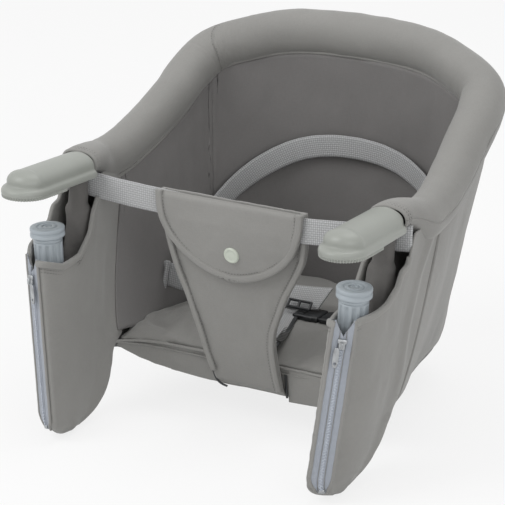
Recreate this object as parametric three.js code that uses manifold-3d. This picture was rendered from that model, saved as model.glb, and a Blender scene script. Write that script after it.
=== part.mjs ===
import * as THREE from 'three';
import { mergeVertices } from 'three/addons/utils/BufferGeometryUtils.js';
import Module from 'manifold-3d';

const wasm = await Module();
wasm.setup();

// Hook-on table chair. Millimetres, +Z up. The origin is midway between the arms, in the
// plane of the tabletop that the arms rest on, level with the rear ends of the arm boots.
// The arms point to -Y, the back is at +Y, and the chair is symmetric about X = 0.

// Clearances and cuts
const clear = 0.3;
const softClear = 0.5;
const overrun = 2;

// How finely the round and soft pieces are drawn
const tubeSides = 8;
const frameSteps = 22;
const bowSteps = 28;
const bolsterSides = 12;
const railSteps = 36;
const pathSamples = 121;
const pouchRings = 11;
const wallRows = 6;
const coverColumns = 29;
const liningColumns = 10;
const cushionRows = 11;
const cushionColumns = 13;
const beltSteps = 44;

// Steel side frames
const armSpacing = 332;
const frameRadius = 6;
const frameWall = 1.5;
const armTubeHeight = 13;
const armTubeReach = 104;
const strutSetback = 5;
const strutLean = 35;
const strutDrop = 219;
const upperBend = 20;
const lowerBend = 22;
const lowerArmReach = 34;
const frameTilt = THREE.MathUtils.degToRad(2.5);

// Arm boots and grip soles
const bootLength = 118;
const bootWidth = 38;
const bootHeight = 23;
const bootNose = 26;
const bootRearDrop = 2;
const bootCrownShare = 0.8;
const bootNoseStartShare = 0.12;
const bootNoseRiseShare = 0.7;
const bootSectionSteps = 8;
const bootNoseSteps = 5;
const flangeWidth = 45;
const flangeLength = 68;
const flangeThickness = 3.5;
const soleThickness = 5;
const soleTooth = 0.8;
const soleToothCount = 34;
const bootTubeSlack = 1.1;
const bootRearSkin = 3;

// Screw clamps
const clampReach = 57;
const clampGap = 36;
const padRadius = 16.6;
const padThickness = 10;
const padGroove = 1.1;
const padGrooveWidth = 1.6;
const padRelief = 0.8;
const padRingWidth = 1.6;
const nutTopRadius = 14.4;
const nutFootRadius = 12.2;
const nutLength = 66;
const nutCollarHeight = 6;
const nutFluteDepth = 0.9;
const nutFluteCount = 12;
const nutBoreLength = 54;
const spindleRadius = 5;
const spindleCrest = 0.7;
const spindlePitch = 6;
const threadTurns = 10;
const spindleEngagement = 24;
const threadSlack = 0.5;
const threadCrestShares = [0.35, 0.85];
const footRadius = 8;
const footHeight = 9;
const screwHeadRadius = 4.4;
const screwHeadHeight = 2.4;
const screwShankRadius = 2.4;
const screwShankLength = 7;

// Rim path, from the hinge at the arm round the back: half width, reach and rise
const rimOverhang = 8;
const rimHalfWidth = armSpacing / 2 + rimOverhang;
const rimReach = 274;
const rimRise = 91;
const bolsterRadius = 21.5;
const bolsterStart = 32;
const bowRadius = 6;
const bowWall = 1.5;
const bowStart = 30;
const boreSlack = 0.6;
const plugSlack = 1.2;
const rimPathShares = [
  [0.965, 0.03, 0.09],
  [1.0, 0.146, -0.03],
  [0.994, 0.29, -0.02],
  [0.966, 0.467, 0.143],
  [0.937, 0.613, 0.35],
  [0.92, 0.745, 0.57],
  [0.866, 0.845, 0.73],
  [0.684, 0.914, 0.863],
  [0.437, 0.971, 0.967],
];

// Folding hinge of the back bow
const pivotReach = 21;
const pivotHeight = 0;
const cheekThickness = 2.5;
const cheekLength = 25.5;
const cheekHeight = 14;
const cheekClear = 1.2;
const lugThickness = 6;
const lugRadius = 6;
const pinRadius = 2.6;
const pinHeadRadius = 4.6;
const pinHeadHeight = 1.6;
const pinSlack = 0.35;
const cuffStart = 14;
const cuffRadius = 21;
const cuffWall = 2;
const cuffGap = 3.5;

// Seat base
const baseFront = 42;
const baseReach = 277;
const baseHalfWidth = 140;
const baseFloor = 205;
const trayHeight = 11;
const traySkin = 2.5;
const railRadius = 5;
const railLift = 14;
const railDepth = baseFloor - railLift;
const railInset = 9;
const railRise = 18;
const railStrutHeight = railDepth - railRise;
const railPassReach = 16;
const railDropReach = 60;
const boardThickness = 5;
const boardInset = 3;
const cushionClear = 2;
const cushionEdge = 12;
const cushionCrown = 11;
const cushionRowShare = 0.8;
const bandThickness = 2.5;
const bandDepth = 25.5;
const boltRadius = 2.6;
const boltHeadRadius = 5;
const boltHeadHeight = 2;
const boardScrewRadius = 2;
const boardScrewHeadRadius = 4.4;
const boardScrewHeadHeight = 1.8;
const baseOutlineShares = [
  [0.955, 0.0],
  [0.99, 0.05],
  [0.965, 0.16],
  [0.9, 0.36],
  [0.84, 0.56],
  [0.79, 0.76],
  [0.69, 0.9],
  [0.37, 0.983],
];

// Fabric walls
const wallSkin = 3;
const liningSkin = 4;
const wallSpread = 9;
const coverSeat = 0;
const liningSeats = [0.1, -0.7, 0.1];
const wallBulge = 5;
const wallBulgeShare = 0.6;
const curveSamples = 33;
const wallFoot = 193;
const seamTopReach = 72;
const seamTopDrop = 25;
const seamFootReach = 14;
const seamFootDrop = 176;
const seamGap = 2;
const liningGap = 0.6;
const wallFootShares = [
  [1.195, 0.05, 0.912],
  [1.09, 0.2, 0.965],
  [0.955, 0.375, 1.0],
  [0.875, 0.595, 1.0],
  [0.8, 0.82, 1.0],
  [0.69, 0.925, 1.0],
  [0.38, 0.988, 1.0],
];
const liningMiddleShares = [0.948, 0.925];
const liningSeamShares = [0, 0.37, 0.63, 1];
const liningFootShares = [
  [0.985, 0.08, 0.85],
  [0.985, 0.2, 0.885],
  [0.92, 0.375, 0.925],
  [0.845, 0.595, 0.925],
  [0.76, 0.795, 0.925],
  [0.64, 0.885, 0.925],
  [0.35, 0.935, 0.925],
];

// Clamp pouches: plan sections from the mouth down to the keel
const pouchSkin = 2;
const pouchTop = 45;
const pouchKeel = 240;
const pouchHalfWidth = 20;
const pouchFootHalfWidth = 16;
const pouchTopSpread = 167.5;
const pouchFootSpread = 145.5;
const pouchFrontTop = 78;
const pouchFrontFoot = 92;
const pouchNose = 27;
const zipFlat = 10;
const keelRadius = 26;
const keelWidthShare = 0.35;
const keelFrontShare = 0.45;
const pouchCheekShares = [0.72, 0.42];
const pouchFlankShare = 0.62;
const pouchHeelShares = [0.8, 0.12];
const pouchTailShare = 0.4;
const mouthDrop = 76;
const mouthReach = 22;
const mouthRiseShare = 0.8;
const pouchRearShares = [
  [0.0, 0.62],
  [0.25, 0.52],
  [0.5, 0.34],
  [0.665, 0.26],
  [0.75, 0.11],
  [0.83, -0.04],
  [0.9, -0.18],
  [0.955, -0.34],
  [0.985, -0.5],
  [1.0, -0.68],
];
const pouchRearReach = 100;

// Zips
const tapeWidth = 20;
const tapeThickness = 1.2;
const tapeTop = 74;
const tapeFoot = 226;
const sliderWidth = 8;
const sliderLength = 11;
const sliderHeight = 3.6;
const pullWidth = 5.5;
const pullLength = 19;
const pullThickness = 1.4;
const pullEye = 1.2;

// Front strap, crotch panel and flap
const webWidth = 25;
const webThickness = 1.6;
const strapTop = 5;
const strapReach = 5;
const loopSlack = 2.2;
const panelThickness = 2.6;
const panelTopHalfWidth = 76;
const panelFootHalfWidth = 27;
const panelFootReach = 33;
const panelUnderReach = 82;
const flapHalfWidth = 76.5;
const flapLength = 88;
const flapThickness = 3;
const flapSlope = 0.14;
const flapRoundShare = 3.2;
const flapColumnShares = [-1, -0.6, -0.2, 0.2, 0.6, 1];
const tunnelGap = 0.6;
const snapDrop = 55;
const snapRadius = 7.2;
const snapHeight = 2.2;
const snapDishShare = 0.8;
const studRadius = 5;
const studBevel = 0.8;
const panelWidthShares = [
  [0, 1],
  [0.2, 0.96],
  [0.35, 0.87],
  [0.5, 0.72],
  [0.65, 0.56],
  [0.8, 0.46],
  [1, 0.355],
];

// Waist belt, buckle and crotch strap
const beltWidth = 22;
const beltThickness = 1.6;
const buckleRest = 2.4;
const buckleReach = 112;
const buckleOffset = 22;
const buckleLength = 30;
const buckleWidth = 28;
const buckleThickness = 8;
const buckleWall = 1.8;
const tongueLength = 34;
const tongueGrip = 12;
const glideLength = 14;
const glideWidth = 30;
const glideBar = 3;
const glideThickness = 3;
const glideLift = 1.5;
const crotchStrapWidth = 20;
const crotchStrapReach = 74;
const beltLift = 8;
const beltTurnShare = 1.4;
const beltFlatShares = [0.72, 0.93];
const crotchSagShare = 0.8;
const beltPathShares = [
  [0.5, 0.64],
  [0.59, 0.61],
  [0.67, 0.53],
  [0.74, 0.45],
  [0.81, 0.37],
  [0.87, 0.29],
];

const root = new THREE.Group();

// Finishes
const finish = (color, roughness, metalness = 0) =>
  new THREE.MeshStandardMaterial({ color, roughness, metalness });
const steel = finish(0x3b3c3e, 0.45, 0.6);
const zinc = finish(0x9a9da0, 0.35, 0.9);
const greyFabric = finish(0x8f8d88, 0.85);
const liningFabric = finish(0x6e6c69, 0.85);
const webbing = finish(0xb3b5b6, 0.8);
const bootRubber = finish(0xaeb0ab, 0.6);
const clampPlastic = finish(0x9aa1a8, 0.5);
const padRubber = finish(0x8f959b, 0.75);
const blackPlastic = finish(0x26282a, 0.5);
const baseBoard = finish(0x6a6a68, 0.7);
const zipFabric = finish(0xb4b8c2, 0.7);
const snapPlastic = finish(0xc5cbbf, 0.35);

function place(parent, name, geometry, material) {
  const mesh = new THREE.Mesh(geometry, material);
  mesh.name = name;
  parent.add(mesh);
  return mesh;
}

// Closed solids and booleans
function bare(geometry) {
  const copy = geometry.clone();
  copy.deleteAttribute('normal');
  copy.deleteAttribute('uv');
  return mergeVertices(copy);
}

function toSolid(geometry) {
  const mesh = bare(geometry);
  return new wasm.Manifold(new wasm.Mesh({
    numProp: 3,
    vertProperties: new Float32Array(mesh.attributes.position.array),
    triVerts: new Uint32Array(mesh.index.array),
  }));
}

function toGeometry(solid) {
  const mesh = solid.getMesh();
  const geometry = new THREE.BufferGeometry();
  geometry.setAttribute('position', new THREE.BufferAttribute(new Float32Array(mesh.vertProperties), 3));
  geometry.setIndex(new THREE.BufferAttribute(new Uint32Array(mesh.triVerts), 1));
  geometry.computeVertexNormals();
  return geometry;
}

function cut(geometry, ...cutters) {
  return toGeometry(cutters.reduce((solid, cutter) => solid.subtract(toSolid(cutter)), toSolid(geometry)));
}

function join(geometry, ...others) {
  return toGeometry(others.reduce((solid, other) => solid.add(toSolid(other)), toSolid(geometry)));
}

function mirrored(geometry) {
  const copy = bare(geometry);
  copy.applyMatrix4(new THREE.Matrix4().makeScale(-1, 1, 1));
  const index = copy.index.array;
  for (let i = 0; i < index.length; i += 3) {
    [index[i], index[i + 1]] = [index[i + 1], index[i]];
  }
  copy.computeVertexNormals();
  return copy;
}

function geometryFrom(points, faces) {
  const geometry = new THREE.BufferGeometry();
  geometry.setFromPoints(points);
  geometry.setIndex(faces);
  geometry.computeVertexNormals();
  return geometry;
}

// A closed slab between two grids of points that face each other
function slab(front, back) {
  const rows = front.length;
  const columns = front[0].length;
  const points = [...front.flat(), ...back.flat()];
  const faces = [];
  const at = (i, j) => i * columns + j;
  const behind = (i, j) => rows * columns + at(i, j);
  const quad = (a, b, c, d) => faces.push(a, b, c, a, c, d);
  for (let i = 0; i < rows - 1; i += 1) {
    for (let j = 0; j < columns - 1; j += 1) {
      quad(at(i, j), at(i + 1, j), at(i + 1, j + 1), at(i, j + 1));
      quad(behind(i, j), behind(i, j + 1), behind(i + 1, j + 1), behind(i + 1, j));
    }
    quad(at(i, 0), behind(i, 0), behind(i + 1, 0), at(i + 1, 0));
    quad(at(i, columns - 1), at(i + 1, columns - 1), behind(i + 1, columns - 1), behind(i, columns - 1));
  }
  for (let j = 0; j < columns - 1; j += 1) {
    quad(at(0, j), at(0, j + 1), behind(0, j + 1), behind(0, j));
    quad(at(rows - 1, j), behind(rows - 1, j), behind(rows - 1, j + 1), at(rows - 1, j + 1));
  }
  return outward(geometryFrom(points, faces));
}

// A closed body through rings of points, with a fan over each end
function ringBody(rings) {
  const count = rings[0].length;
  const middle = (ring) => ring.reduce((sum, p) => sum.add(p), new THREE.Vector3()).divideScalar(count);
  const points = [...rings.flat(), middle(rings[0]), middle(rings.at(-1))];
  const faces = [];
  const first = rings.length * count;
  for (let i = 0; i < count; i += 1) {
    const next = (i + 1) % count;
    for (let r = 0; r < rings.length - 1; r += 1) {
      const low = r * count;
      const high = low + count;
      faces.push(low + i, low + next, high + next, low + i, high + next, high + i);
    }
    const last = (rings.length - 1) * count;
    faces.push(first, next, i, first + 1, last + i, last + next);
  }
  return outward(geometryFrom(points, faces));
}

function volumeOf(geometry) {
  const p = geometry.attributes.position;
  const index = geometry.index.array;
  const [a, b, c] = [new THREE.Vector3(), new THREE.Vector3(), new THREE.Vector3()];
  let sum = 0;
  for (let i = 0; i < index.length; i += 3) {
    a.fromBufferAttribute(p, index[i]);
    b.fromBufferAttribute(p, index[i + 1]);
    c.fromBufferAttribute(p, index[i + 2]);
    sum += a.dot(b.cross(c));
  }
  return sum;
}

function outward(geometry) {
  if (volumeOf(geometry) > 0) return geometry;
  const index = geometry.index.array;
  for (let i = 0; i < index.length; i += 3) {
    [index[i], index[i + 1]] = [index[i + 1], index[i]];
  }
  geometry.computeVertexNormals();
  return geometry;
}

// Turned and bent stock
const vector = (x, y, z) => new THREE.Vector3(x, y, z);

function turned(profile, segments = 24) {
  const outline = profile.map(([radius, height]) => new THREE.Vector2(radius, height));
  return outward(bare(new THREE.LatheGeometry(outline, segments).rotateX(Math.PI / 2)));
}

function rod(radius, length, segments = 16) {
  return new THREE.CylinderGeometry(radius, radius, length, segments).rotateX(Math.PI / 2);
}

function ringShape(radius, bore) {
  const shape = new THREE.Shape().absarc(0, 0, radius, 0, 2 * Math.PI);
  if (bore > 0) shape.holes.push(new THREE.Path().absarc(0, 0, bore, 0, 2 * Math.PI, true));
  return shape;
}

function tube(path, radius, bore, steps, sides) {
  return new THREE.ExtrudeGeometry(ringShape(radius, bore), {
    steps, curveSegments: sides / 2, extrudePath: path, bevelEnabled: false,
  });
}

function bentPath(corners, bends) {
  const path = new THREE.CurvePath();
  let start = corners[0];
  bends.forEach((bend, i) => {
    const corner = corners[i + 1];
    const into = corner.clone().sub(corners[i]).normalize();
    const out = corners[i + 2].clone().sub(corner).normalize();
    const setback = bend * Math.tan(into.angleTo(out) / 2);
    const first = corner.clone().addScaledVector(into, -setback);
    const last = corner.clone().addScaledVector(out, setback);
    path.add(new THREE.LineCurve3(start, first));
    path.add(new THREE.QuadraticBezierCurve3(first, corner, last));
    start = last;
  });
  path.add(new THREE.LineCurve3(start, corners.at(-1)));
  return path;
}

const spline = (points) => new THREE.CatmullRomCurve3(points, false, 'centripetal');

function bothSides(half, middle) {
  const left = half.map((p) => vector(-p.x, p.y, p.z));
  return spline([...left, middle, ...half.toReversed()]);
}

function stretch(curve, from, to, count) {
  return Array.from({ length: count }, (_, i) =>
    curve.getPointAt(THREE.MathUtils.lerp(from, to, i / (count - 1))));
}

function shareAtReach(curve, reach) {
  let low = 0.5;
  let high = 1;
  for (let i = 0; i < 40; i += 1) {
    const middle = (low + high) / 2;
    if (curve.getPointAt(middle).y > reach) low = middle;
    else high = middle;
  }
  return low;
}

// Side frame: one bent tube in a plane that leans in towards its foot
const armX = armSpacing / 2;
const strutFoot = vector(0, strutSetback - strutLean, -strutDrop);
const frameCorners = [
  vector(0, -armTubeReach, 0),
  vector(0, strutSetback, 0),
  strutFoot,
  vector(0, strutFoot.y - lowerArmReach, -strutDrop),
];
const framePath = () => bentPath(frameCorners, [upperBend, lowerBend]);

function sideFrame() {
  const hole = rod(boltRadius + 2 * clear, 4 * frameRadius, 12).rotateY(Math.PI / 2);
  hole.translate(0, strutAt(railStrutHeight).y, -railStrutHeight - armTubeHeight);
  return cut(tube(framePath(), frameRadius, frameRadius - frameWall, frameSteps, tubeSides), hole);
}

function sideGroup(side) {
  const group = new THREE.Group();
  group.position.set(side * armX, 0, armTubeHeight);
  group.rotation.y = side * frameTilt;
  root.add(group);
  return group;
}

function strutAt(depth) {
  const share = (depth + armTubeHeight) / strutDrop;
  return vector(armX - (depth + armTubeHeight) * Math.tan(frameTilt), strutSetback - share * strutLean, -depth);
}

// Arm boot: half-round hood, flange over the front part, and a channel for the bent tube
function bootSection(y, width, height, floor) {
  const points = [];
  for (let i = 0; i <= bootSectionSteps; i += 1) {
    const angle = (Math.PI * i) / bootSectionSteps;
    points.push(vector(width * Math.cos(angle), y, floor + height * Math.sin(angle) ** bootCrownShare));
  }
  return points;
}

function bootHood() {
  const rings = [];
  const floor = soleThickness + clear;
  for (let i = 0; i <= bootNoseSteps; i += 1) {
    const angle = (Math.PI / 2) * THREE.MathUtils.lerp(bootNoseStartShare, 1, i / bootNoseSteps);
    const grow = Math.sin(angle);
    const y = -bootLength + bootNose * (1 - Math.cos(angle)) + flangeThickness;
    rings.push(bootSection(y, (bootWidth / 2) * grow, bootHeight * grow ** bootNoseRiseShare, floor));
  }
  rings.push(bootSection(-flangeLength / 2, bootWidth / 2, bootHeight, floor));
  rings.push(bootSection(0, bootWidth / 2 - bootRearDrop, bootHeight - bootRearDrop, floor));
  return ringBody(rings);
}

function padOutline(width, length, tooth, teeth) {
  const radius = width / 2;
  const straight = length - radius;
  const total = 2 * straight + Math.PI * radius;
  const count = teeth * 2;
  const shape = new THREE.Shape();
  for (let i = 0; i <= count; i += 1) {
    const along = (total * i) / count;
    const reach = radius + (i % 2 === 0 ? 0 : tooth);
    const rear = -bootLength + length;
    const front = rear - straight;
    let point = [reach, rear - along];
    if (along > straight && along < total - straight) {
      const angle = (along - straight) / radius;
      point = [reach * Math.cos(angle), front - reach * Math.sin(angle)];
    } else if (along >= total - straight) {
      point = [-reach, front + along - (total - straight)];
    }
    if (i === 0) shape.moveTo(...point);
    else shape.lineTo(...point);
  }
  shape.closePath();
  return shape;
}

function plate(shape, thickness, floor) {
  return new THREE.ExtrudeGeometry(shape, { depth: thickness, bevelEnabled: false, curveSegments: 8 })
    .translate(0, 0, floor);
}

function armBoot() {
  const flange = plate(padOutline(flangeWidth, flangeLength, 0, soleToothCount / 2), flangeThickness,
    soleThickness + clear);
  const channel = tube(framePath(), frameRadius + bootTubeSlack, 0, frameSteps, tubeSides)
    .translate(0, 0, armTubeHeight);
  const slot = new THREE.BoxGeometry(2 * (frameRadius + bootTubeSlack), upperBend, armTubeHeight);
  slot.translate(0, bootRearSkin - upperBend / 2, armTubeHeight / 2);
  return cut(join(bootHood(), flange), channel, slot);
}

function gripSole() {
  return plate(padOutline(flangeWidth - soleTooth, flangeLength, soleTooth, soleToothCount), soleThickness, 0);
}

// Screw clamp pieces, in the leaning frame's own axes, heights from the tabletop plane
const localHeight = (depth) => -depth - armTubeHeight;
const padTop = localHeight(clampGap);
const padFloor = padTop - padThickness;
const nutTop = padFloor - clear;
const nutFoot = nutTop - nutLength;
const boreTop = nutFoot + nutBoreLength;
const footFloor = -strutDrop + frameRadius + clear;

function clampPad() {
  const r = padRadius;
  const middle = padFloor + padThickness / 2;
  const recess = padTop - screwHeadHeight - clear;
  const hole = screwShankRadius + clear;
  const seat = screwHeadRadius + clear;
  const ring = r / 2;
  return turned([
    [hole, padFloor], [r - padGroove, padFloor], [r, padFloor + padGroove],
    [r, middle - padGrooveWidth], [r - padGroove, middle - padGrooveWidth / 2],
    [r - padGroove, middle + padGrooveWidth / 2], [r, middle + padGrooveWidth],
    [r, padTop - padGroove], [r - padGroove, padTop], [ring + padRingWidth, padTop],
    [ring + padRingWidth / 2, padTop - padRelief], [ring, padTop], [seat, padTop],
    [seat, recess], [hole, recess], [hole, padFloor],
  ], 16);
}

function padScrew() {
  const head = padTop - padRelief / 2;
  return turned([
    [0, head - screwHeadHeight + clear - screwShankLength - padThickness / 2],
    [screwShankRadius, head - screwHeadHeight + clear - screwShankLength - padThickness / 2],
    [screwShankRadius, head - screwHeadHeight + clear], [screwHeadRadius, head - screwHeadHeight + clear],
    [screwHeadRadius, head - padRelief], [screwHeadRadius - padRelief, head], [0, head],
  ], 12);
}

function flutedShape(radius) {
  const shape = new THREE.Shape();
  const steps = nutFluteCount * 3;
  for (let i = 0; i < steps; i += 1) {
    const angle = (2 * Math.PI * i) / steps;
    const reach = radius - (i % 3 === 0 ? nutFluteDepth : 0);
    if (i === 0) shape.moveTo(reach, 0);
    else shape.lineTo(reach * Math.cos(angle), reach * Math.sin(angle));
  }
  shape.closePath();
  return shape;
}

function handNut() {
  const body = new THREE.ExtrudeGeometry(flutedShape(nutTopRadius), { depth: nutLength, bevelEnabled: false });
  const position = body.attributes.position;
  for (let i = 0; i < position.count; i += 1) {
    const grow = THREE.MathUtils.lerp(nutFootRadius / nutTopRadius, 1, position.getZ(i) / nutLength);
    position.setX(i, position.getX(i) * grow);
    position.setY(i, position.getY(i) * grow);
  }
  body.translate(0, 0, nutFoot);
  const collar = rod(nutTopRadius + nutFluteDepth / 2, nutCollarHeight, 28)
    .translate(0, 0, nutTop - nutCollarHeight / 2);
  const bore = rod(spindleRadius + threadSlack, nutBoreLength + overrun, 16)
    .translate(0, 0, boreTop - (nutBoreLength + overrun) / 2);
  const pilot = rod(screwShankRadius + clear, nutTop - boreTop + 2 * overrun, 12)
    .translate(0, 0, (nutTop + boreTop) / 2);
  return cut(join(body, collar), bore, pilot);
}

function spindle() {
  const top = nutFoot + spindleEngagement;
  const root = spindleRadius - spindleCrest;
  const start = top - threadTurns * spindlePitch - spindleCrest;
  const profile = [[0, footFloor + clear], [root, footFloor + clear], [root, start]];
  for (let i = 0; i < threadTurns; i += 1) {
    profile.push([spindleRadius, start + (i + threadCrestShares[0]) * spindlePitch]);
    profile.push([root, start + (i + threadCrestShares[1]) * spindlePitch]);
  }
  profile.push([root, top], [0, top]);
  return turned(profile, 10);
}

function clampFoot() {
  const hole = spindleRadius - spindleCrest + clear;
  return turned([
    [hole, footFloor], [footRadius, footFloor], [footRadius, footFloor + footHeight / 2],
    [footRadius - footHeight / 4, footFloor + footHeight], [hole, footFloor + footHeight], [hole, footFloor],
  ], 14);
}

// Rim path and the padded bow on it
const rimHalf = rimPathShares.map(([x, y, z]) => vector(x * rimHalfWidth, y * rimReach, z * rimRise));
const rimPath = bothSides(rimHalf, vector(0, rimReach, rimRise));

function rimStretch(fromReach, toReach, count) {
  return stretch(rimPath, shareAtReach(rimPath, fromReach), shareAtReach(rimPath, toReach), count);
}

function bolster() {
  const edge = shareAtReach(rimPath, bolsterStart);
  const path = spline(stretch(rimPath, 1 - edge, edge, pathSamples));
  return tube(path, bolsterRadius, bowRadius + boreSlack, bowSteps, bolsterSides);
}

function backBow() {
  const edge = shareAtReach(rimPath, bowStart);
  const path = spline(stretch(rimPath, 1 - edge, edge, pathSamples));
  return tube(path, bowRadius, bowRadius - bowWall, bowSteps, tubeSides);
}

function hingeCuff() {
  const path = spline(rimStretch(bolsterStart - cuffGap, cuffStart, 9));
  const sleeve = tube(path, cuffRadius, cuffRadius - cuffWall, 3, bolsterSides);
  const slot = new THREE.BoxGeometry(3 * cuffRadius, webWidth, webWidth);
  slot.translate(armX, cuffStart, -webWidth / 2 - strapTop + clear);
  return cut(sleeve, slot);
}

// Hinge bracket: two cheeks on the strut's bend, joined by a web behind the lug
function flatBar(outline, thickness, x) {
  const shape = new THREE.Shape(outline.map(([y, z]) => new THREE.Vector2(y, z)));
  const bar = new THREE.ExtrudeGeometry(shape, { depth: thickness, bevelEnabled: false });
  bar.rotateY(Math.PI / 2).rotateX(Math.PI / 2);
  return bar.translate(x - thickness / 2, 0, 0);
}

const cheekOffset = frameRadius + cheekClear + cheekThickness / 2;
const bracketFloor = pivotHeight - cheekHeight / 3;

function hingeBracket() {
  const top = bracketFloor + cheekHeight;
  const rear = softClear + cheekLength;
  const corner = cheekHeight / 3;
  const outline = [
    [softClear, bracketFloor], [rear - corner, bracketFloor], [rear, bracketFloor + corner],
    [rear, top - corner], [rear - corner, top], [softClear, top],
  ];
  const cheeks = [-1, 1].map((side) => flatBar(outline, cheekThickness, armX + side * cheekOffset));
  const bridge = new THREE.BoxGeometry(2 * cheekOffset, cheekThickness, cheekHeight - corner);
  bridge.translate(armX, strutSetback + frameRadius + cheekThickness / 2 + clear,
    bracketFloor + (cheekHeight - corner) / 2);
  const hole = rod(pinRadius + clear, 4 * cheekOffset, 14).rotateY(Math.PI / 2);
  hole.translate(armX, pivotReach, pivotHeight);
  return cut(join(cheeks[0], bridge, cheeks[1]), hole);
}

function hingePin() {
  const half = cheekOffset + cheekThickness / 2 + clear;
  const pin = turned([
    [0, -half - pinHeadHeight], [pinHeadRadius, -half - pinHeadHeight], [pinHeadRadius, -half],
    [pinRadius, -half], [pinRadius, half], [pinHeadRadius, half],
    [pinHeadRadius, half + pinHeadHeight], [0, half + pinHeadHeight],
  ], 14);
  return pin.rotateY(Math.PI / 2).translate(armX, pivotReach, pivotHeight);
}

function bowLug() {
  const end = rimPath.getPointAt(shareAtReach(rimPath, bowStart - bowWall - softClear));
  const inner = rimPath.getPointAt(shareAtReach(rimPath, bowStart + bowRadius / 2));
  const plug = tube(new THREE.LineCurve3(end, inner), bowRadius - bowWall - plugSlack, 0, 1, 10);
  const eye = rod(lugRadius, lugThickness, 16).rotateY(Math.PI / 2).translate(armX, pivotReach, pivotHeight);
  const reach = end.y - pivotReach;
  const outline = [
    [pivotReach, pivotHeight - lugRadius], [end.y, end.z - lugRadius],
    [end.y, end.z + lugRadius], [pivotReach, pivotHeight + lugRadius],
  ];
  const blade = flatBar(outline, lugThickness, armX);
  const shoulder = new THREE.BoxGeometry(end.x - armX + bowRadius + lugThickness / 2, reach / 4, 2 * lugRadius);
  shoulder.translate((end.x + armX + bowRadius - lugThickness / 2) / 2, end.y - reach / 8, end.z);
  const hole = rod(pinRadius + pinSlack, 2 * lugThickness, 14).rotateY(Math.PI / 2);
  hole.translate(armX, pivotReach, pivotHeight);
  return cut(join(eye, blade, shoulder, plug), hole);
}

// Seat base outline and pieces
function outlineCurve(shares, middleShare, inset, depth) {
  const half = shares.map(([x, y]) => vector(x * baseHalfWidth - inset,
    THREE.MathUtils.lerp(baseFront + inset, baseReach - inset, y), -depth));
  return bothSides(half, vector(0, THREE.MathUtils.lerp(baseFront, baseReach, middleShare) - inset, -depth));
}

function baseShape(inset) {
  const curve = outlineCurve(baseOutlineShares, 1, inset, 0);
  const shape = new THREE.Shape();
  stretch(curve, 1, 0, curveSamples).forEach((p, i) => {
    if (i === 0) shape.moveTo(p.x, p.y);
    else shape.lineTo(p.x, p.y);
  });
  shape.closePath();
  return shape;
}

function seatTray() {
  const shell = plate(baseShape(0), trayHeight, -baseFloor);
  const hollow = plate(baseShape(traySkin), trayHeight, -baseFloor + traySkin);
  return cut(shell, hollow);
}

const boardFloor = -railDepth + railRadius + clear;
const cushionFloor = boardFloor + boardThickness + clear;

function railPath() {
  const strut = strutAt(railStrutHeight);
  const startX = strut.x - frameRadius - railRadius - softClear;
  const back = outlineCurve(baseOutlineShares, 1, railInset, railDepth);
  const round = stretch(back, shareAtReach(back, railDropReach), 0.5, 14);
  const half = [
    vector(startX, strut.y - 2 * railRadius, -railStrutHeight),
    vector(startX, strut.y + 2 * railRadius, -railStrutHeight),
    vector(startX - railRadius / 2, railPassReach, -railStrutHeight - railRadius / 3),
    ...round.slice(0, -1),
  ];
  return bothSides(half, round.at(-1));
}

const railTube = (slack) => tube(railPath(), railRadius + slack, 0, railSteps, tubeSides);

function seatRail() {
  const strut = strutAt(railStrutHeight);
  const hole = rod(boltRadius + clear, 3 * armSpacing, 12).rotateY(Math.PI / 2);
  hole.translate(0, strut.y, -railStrutHeight);
  return cut(railTube(0), hole);
}

function frontRail() {
  const width = baseHalfWidth - 2 * railInset - railRadius;
  const y = baseFront + railInset + railRadius;
  return tube(new THREE.LineCurve3(vector(-width, y, -railDepth), vector(width, y, -railDepth)),
    railRadius, railRadius - frameWall, 1, tubeSides);
}

function railBolt() {
  const strut = strutAt(railStrutHeight);
  const inner = strut.x - frameRadius - 2 * railRadius - 2 * softClear;
  const half = (strut.x + frameRadius + softClear - inner) / 2;
  const bolt = turned([
    [0, -half - boltHeadHeight], [boltHeadRadius, -half - boltHeadHeight], [boltHeadRadius, -half],
    [boltRadius, -half], [boltRadius, half], [boltHeadRadius, half],
    [boltHeadRadius, half + boltHeadHeight], [0, half + boltHeadHeight],
  ], 12);
  return bolt.rotateY(Math.PI / 2).translate(inner + half, strut.y, -railStrutHeight);
}

function seatBoard() {
  const holes = boardScrewPlaces.map(([x, y]) => rod(boardScrewRadius + clear, 2 * boardThickness, 10)
    .translate(x, y, boardFloor + boardThickness / 2));
  return cut(plate(baseShape(railInset - boardInset), boardThickness, boardFloor), railTube(softClear), ...holes);
}

const frontRailReach = baseFront + railInset + railRadius;
const boardScrewPlaces = [-1, 1].map((side) => [side * (baseHalfWidth / 2), frontRailReach]);

function boardScrew([x, y]) {
  const under = boardFloor + boardThickness - boardScrewHeadHeight;
  return turned([
    [0, boardFloor - clear / 2], [boardScrewRadius, boardFloor - clear / 2], [boardScrewRadius, under],
    [boardScrewRadius, under + boardScrewHeadHeight - clear], [0, under + boardScrewHeadHeight - clear],
  ], 10).translate(x, y, 0);
}

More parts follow.
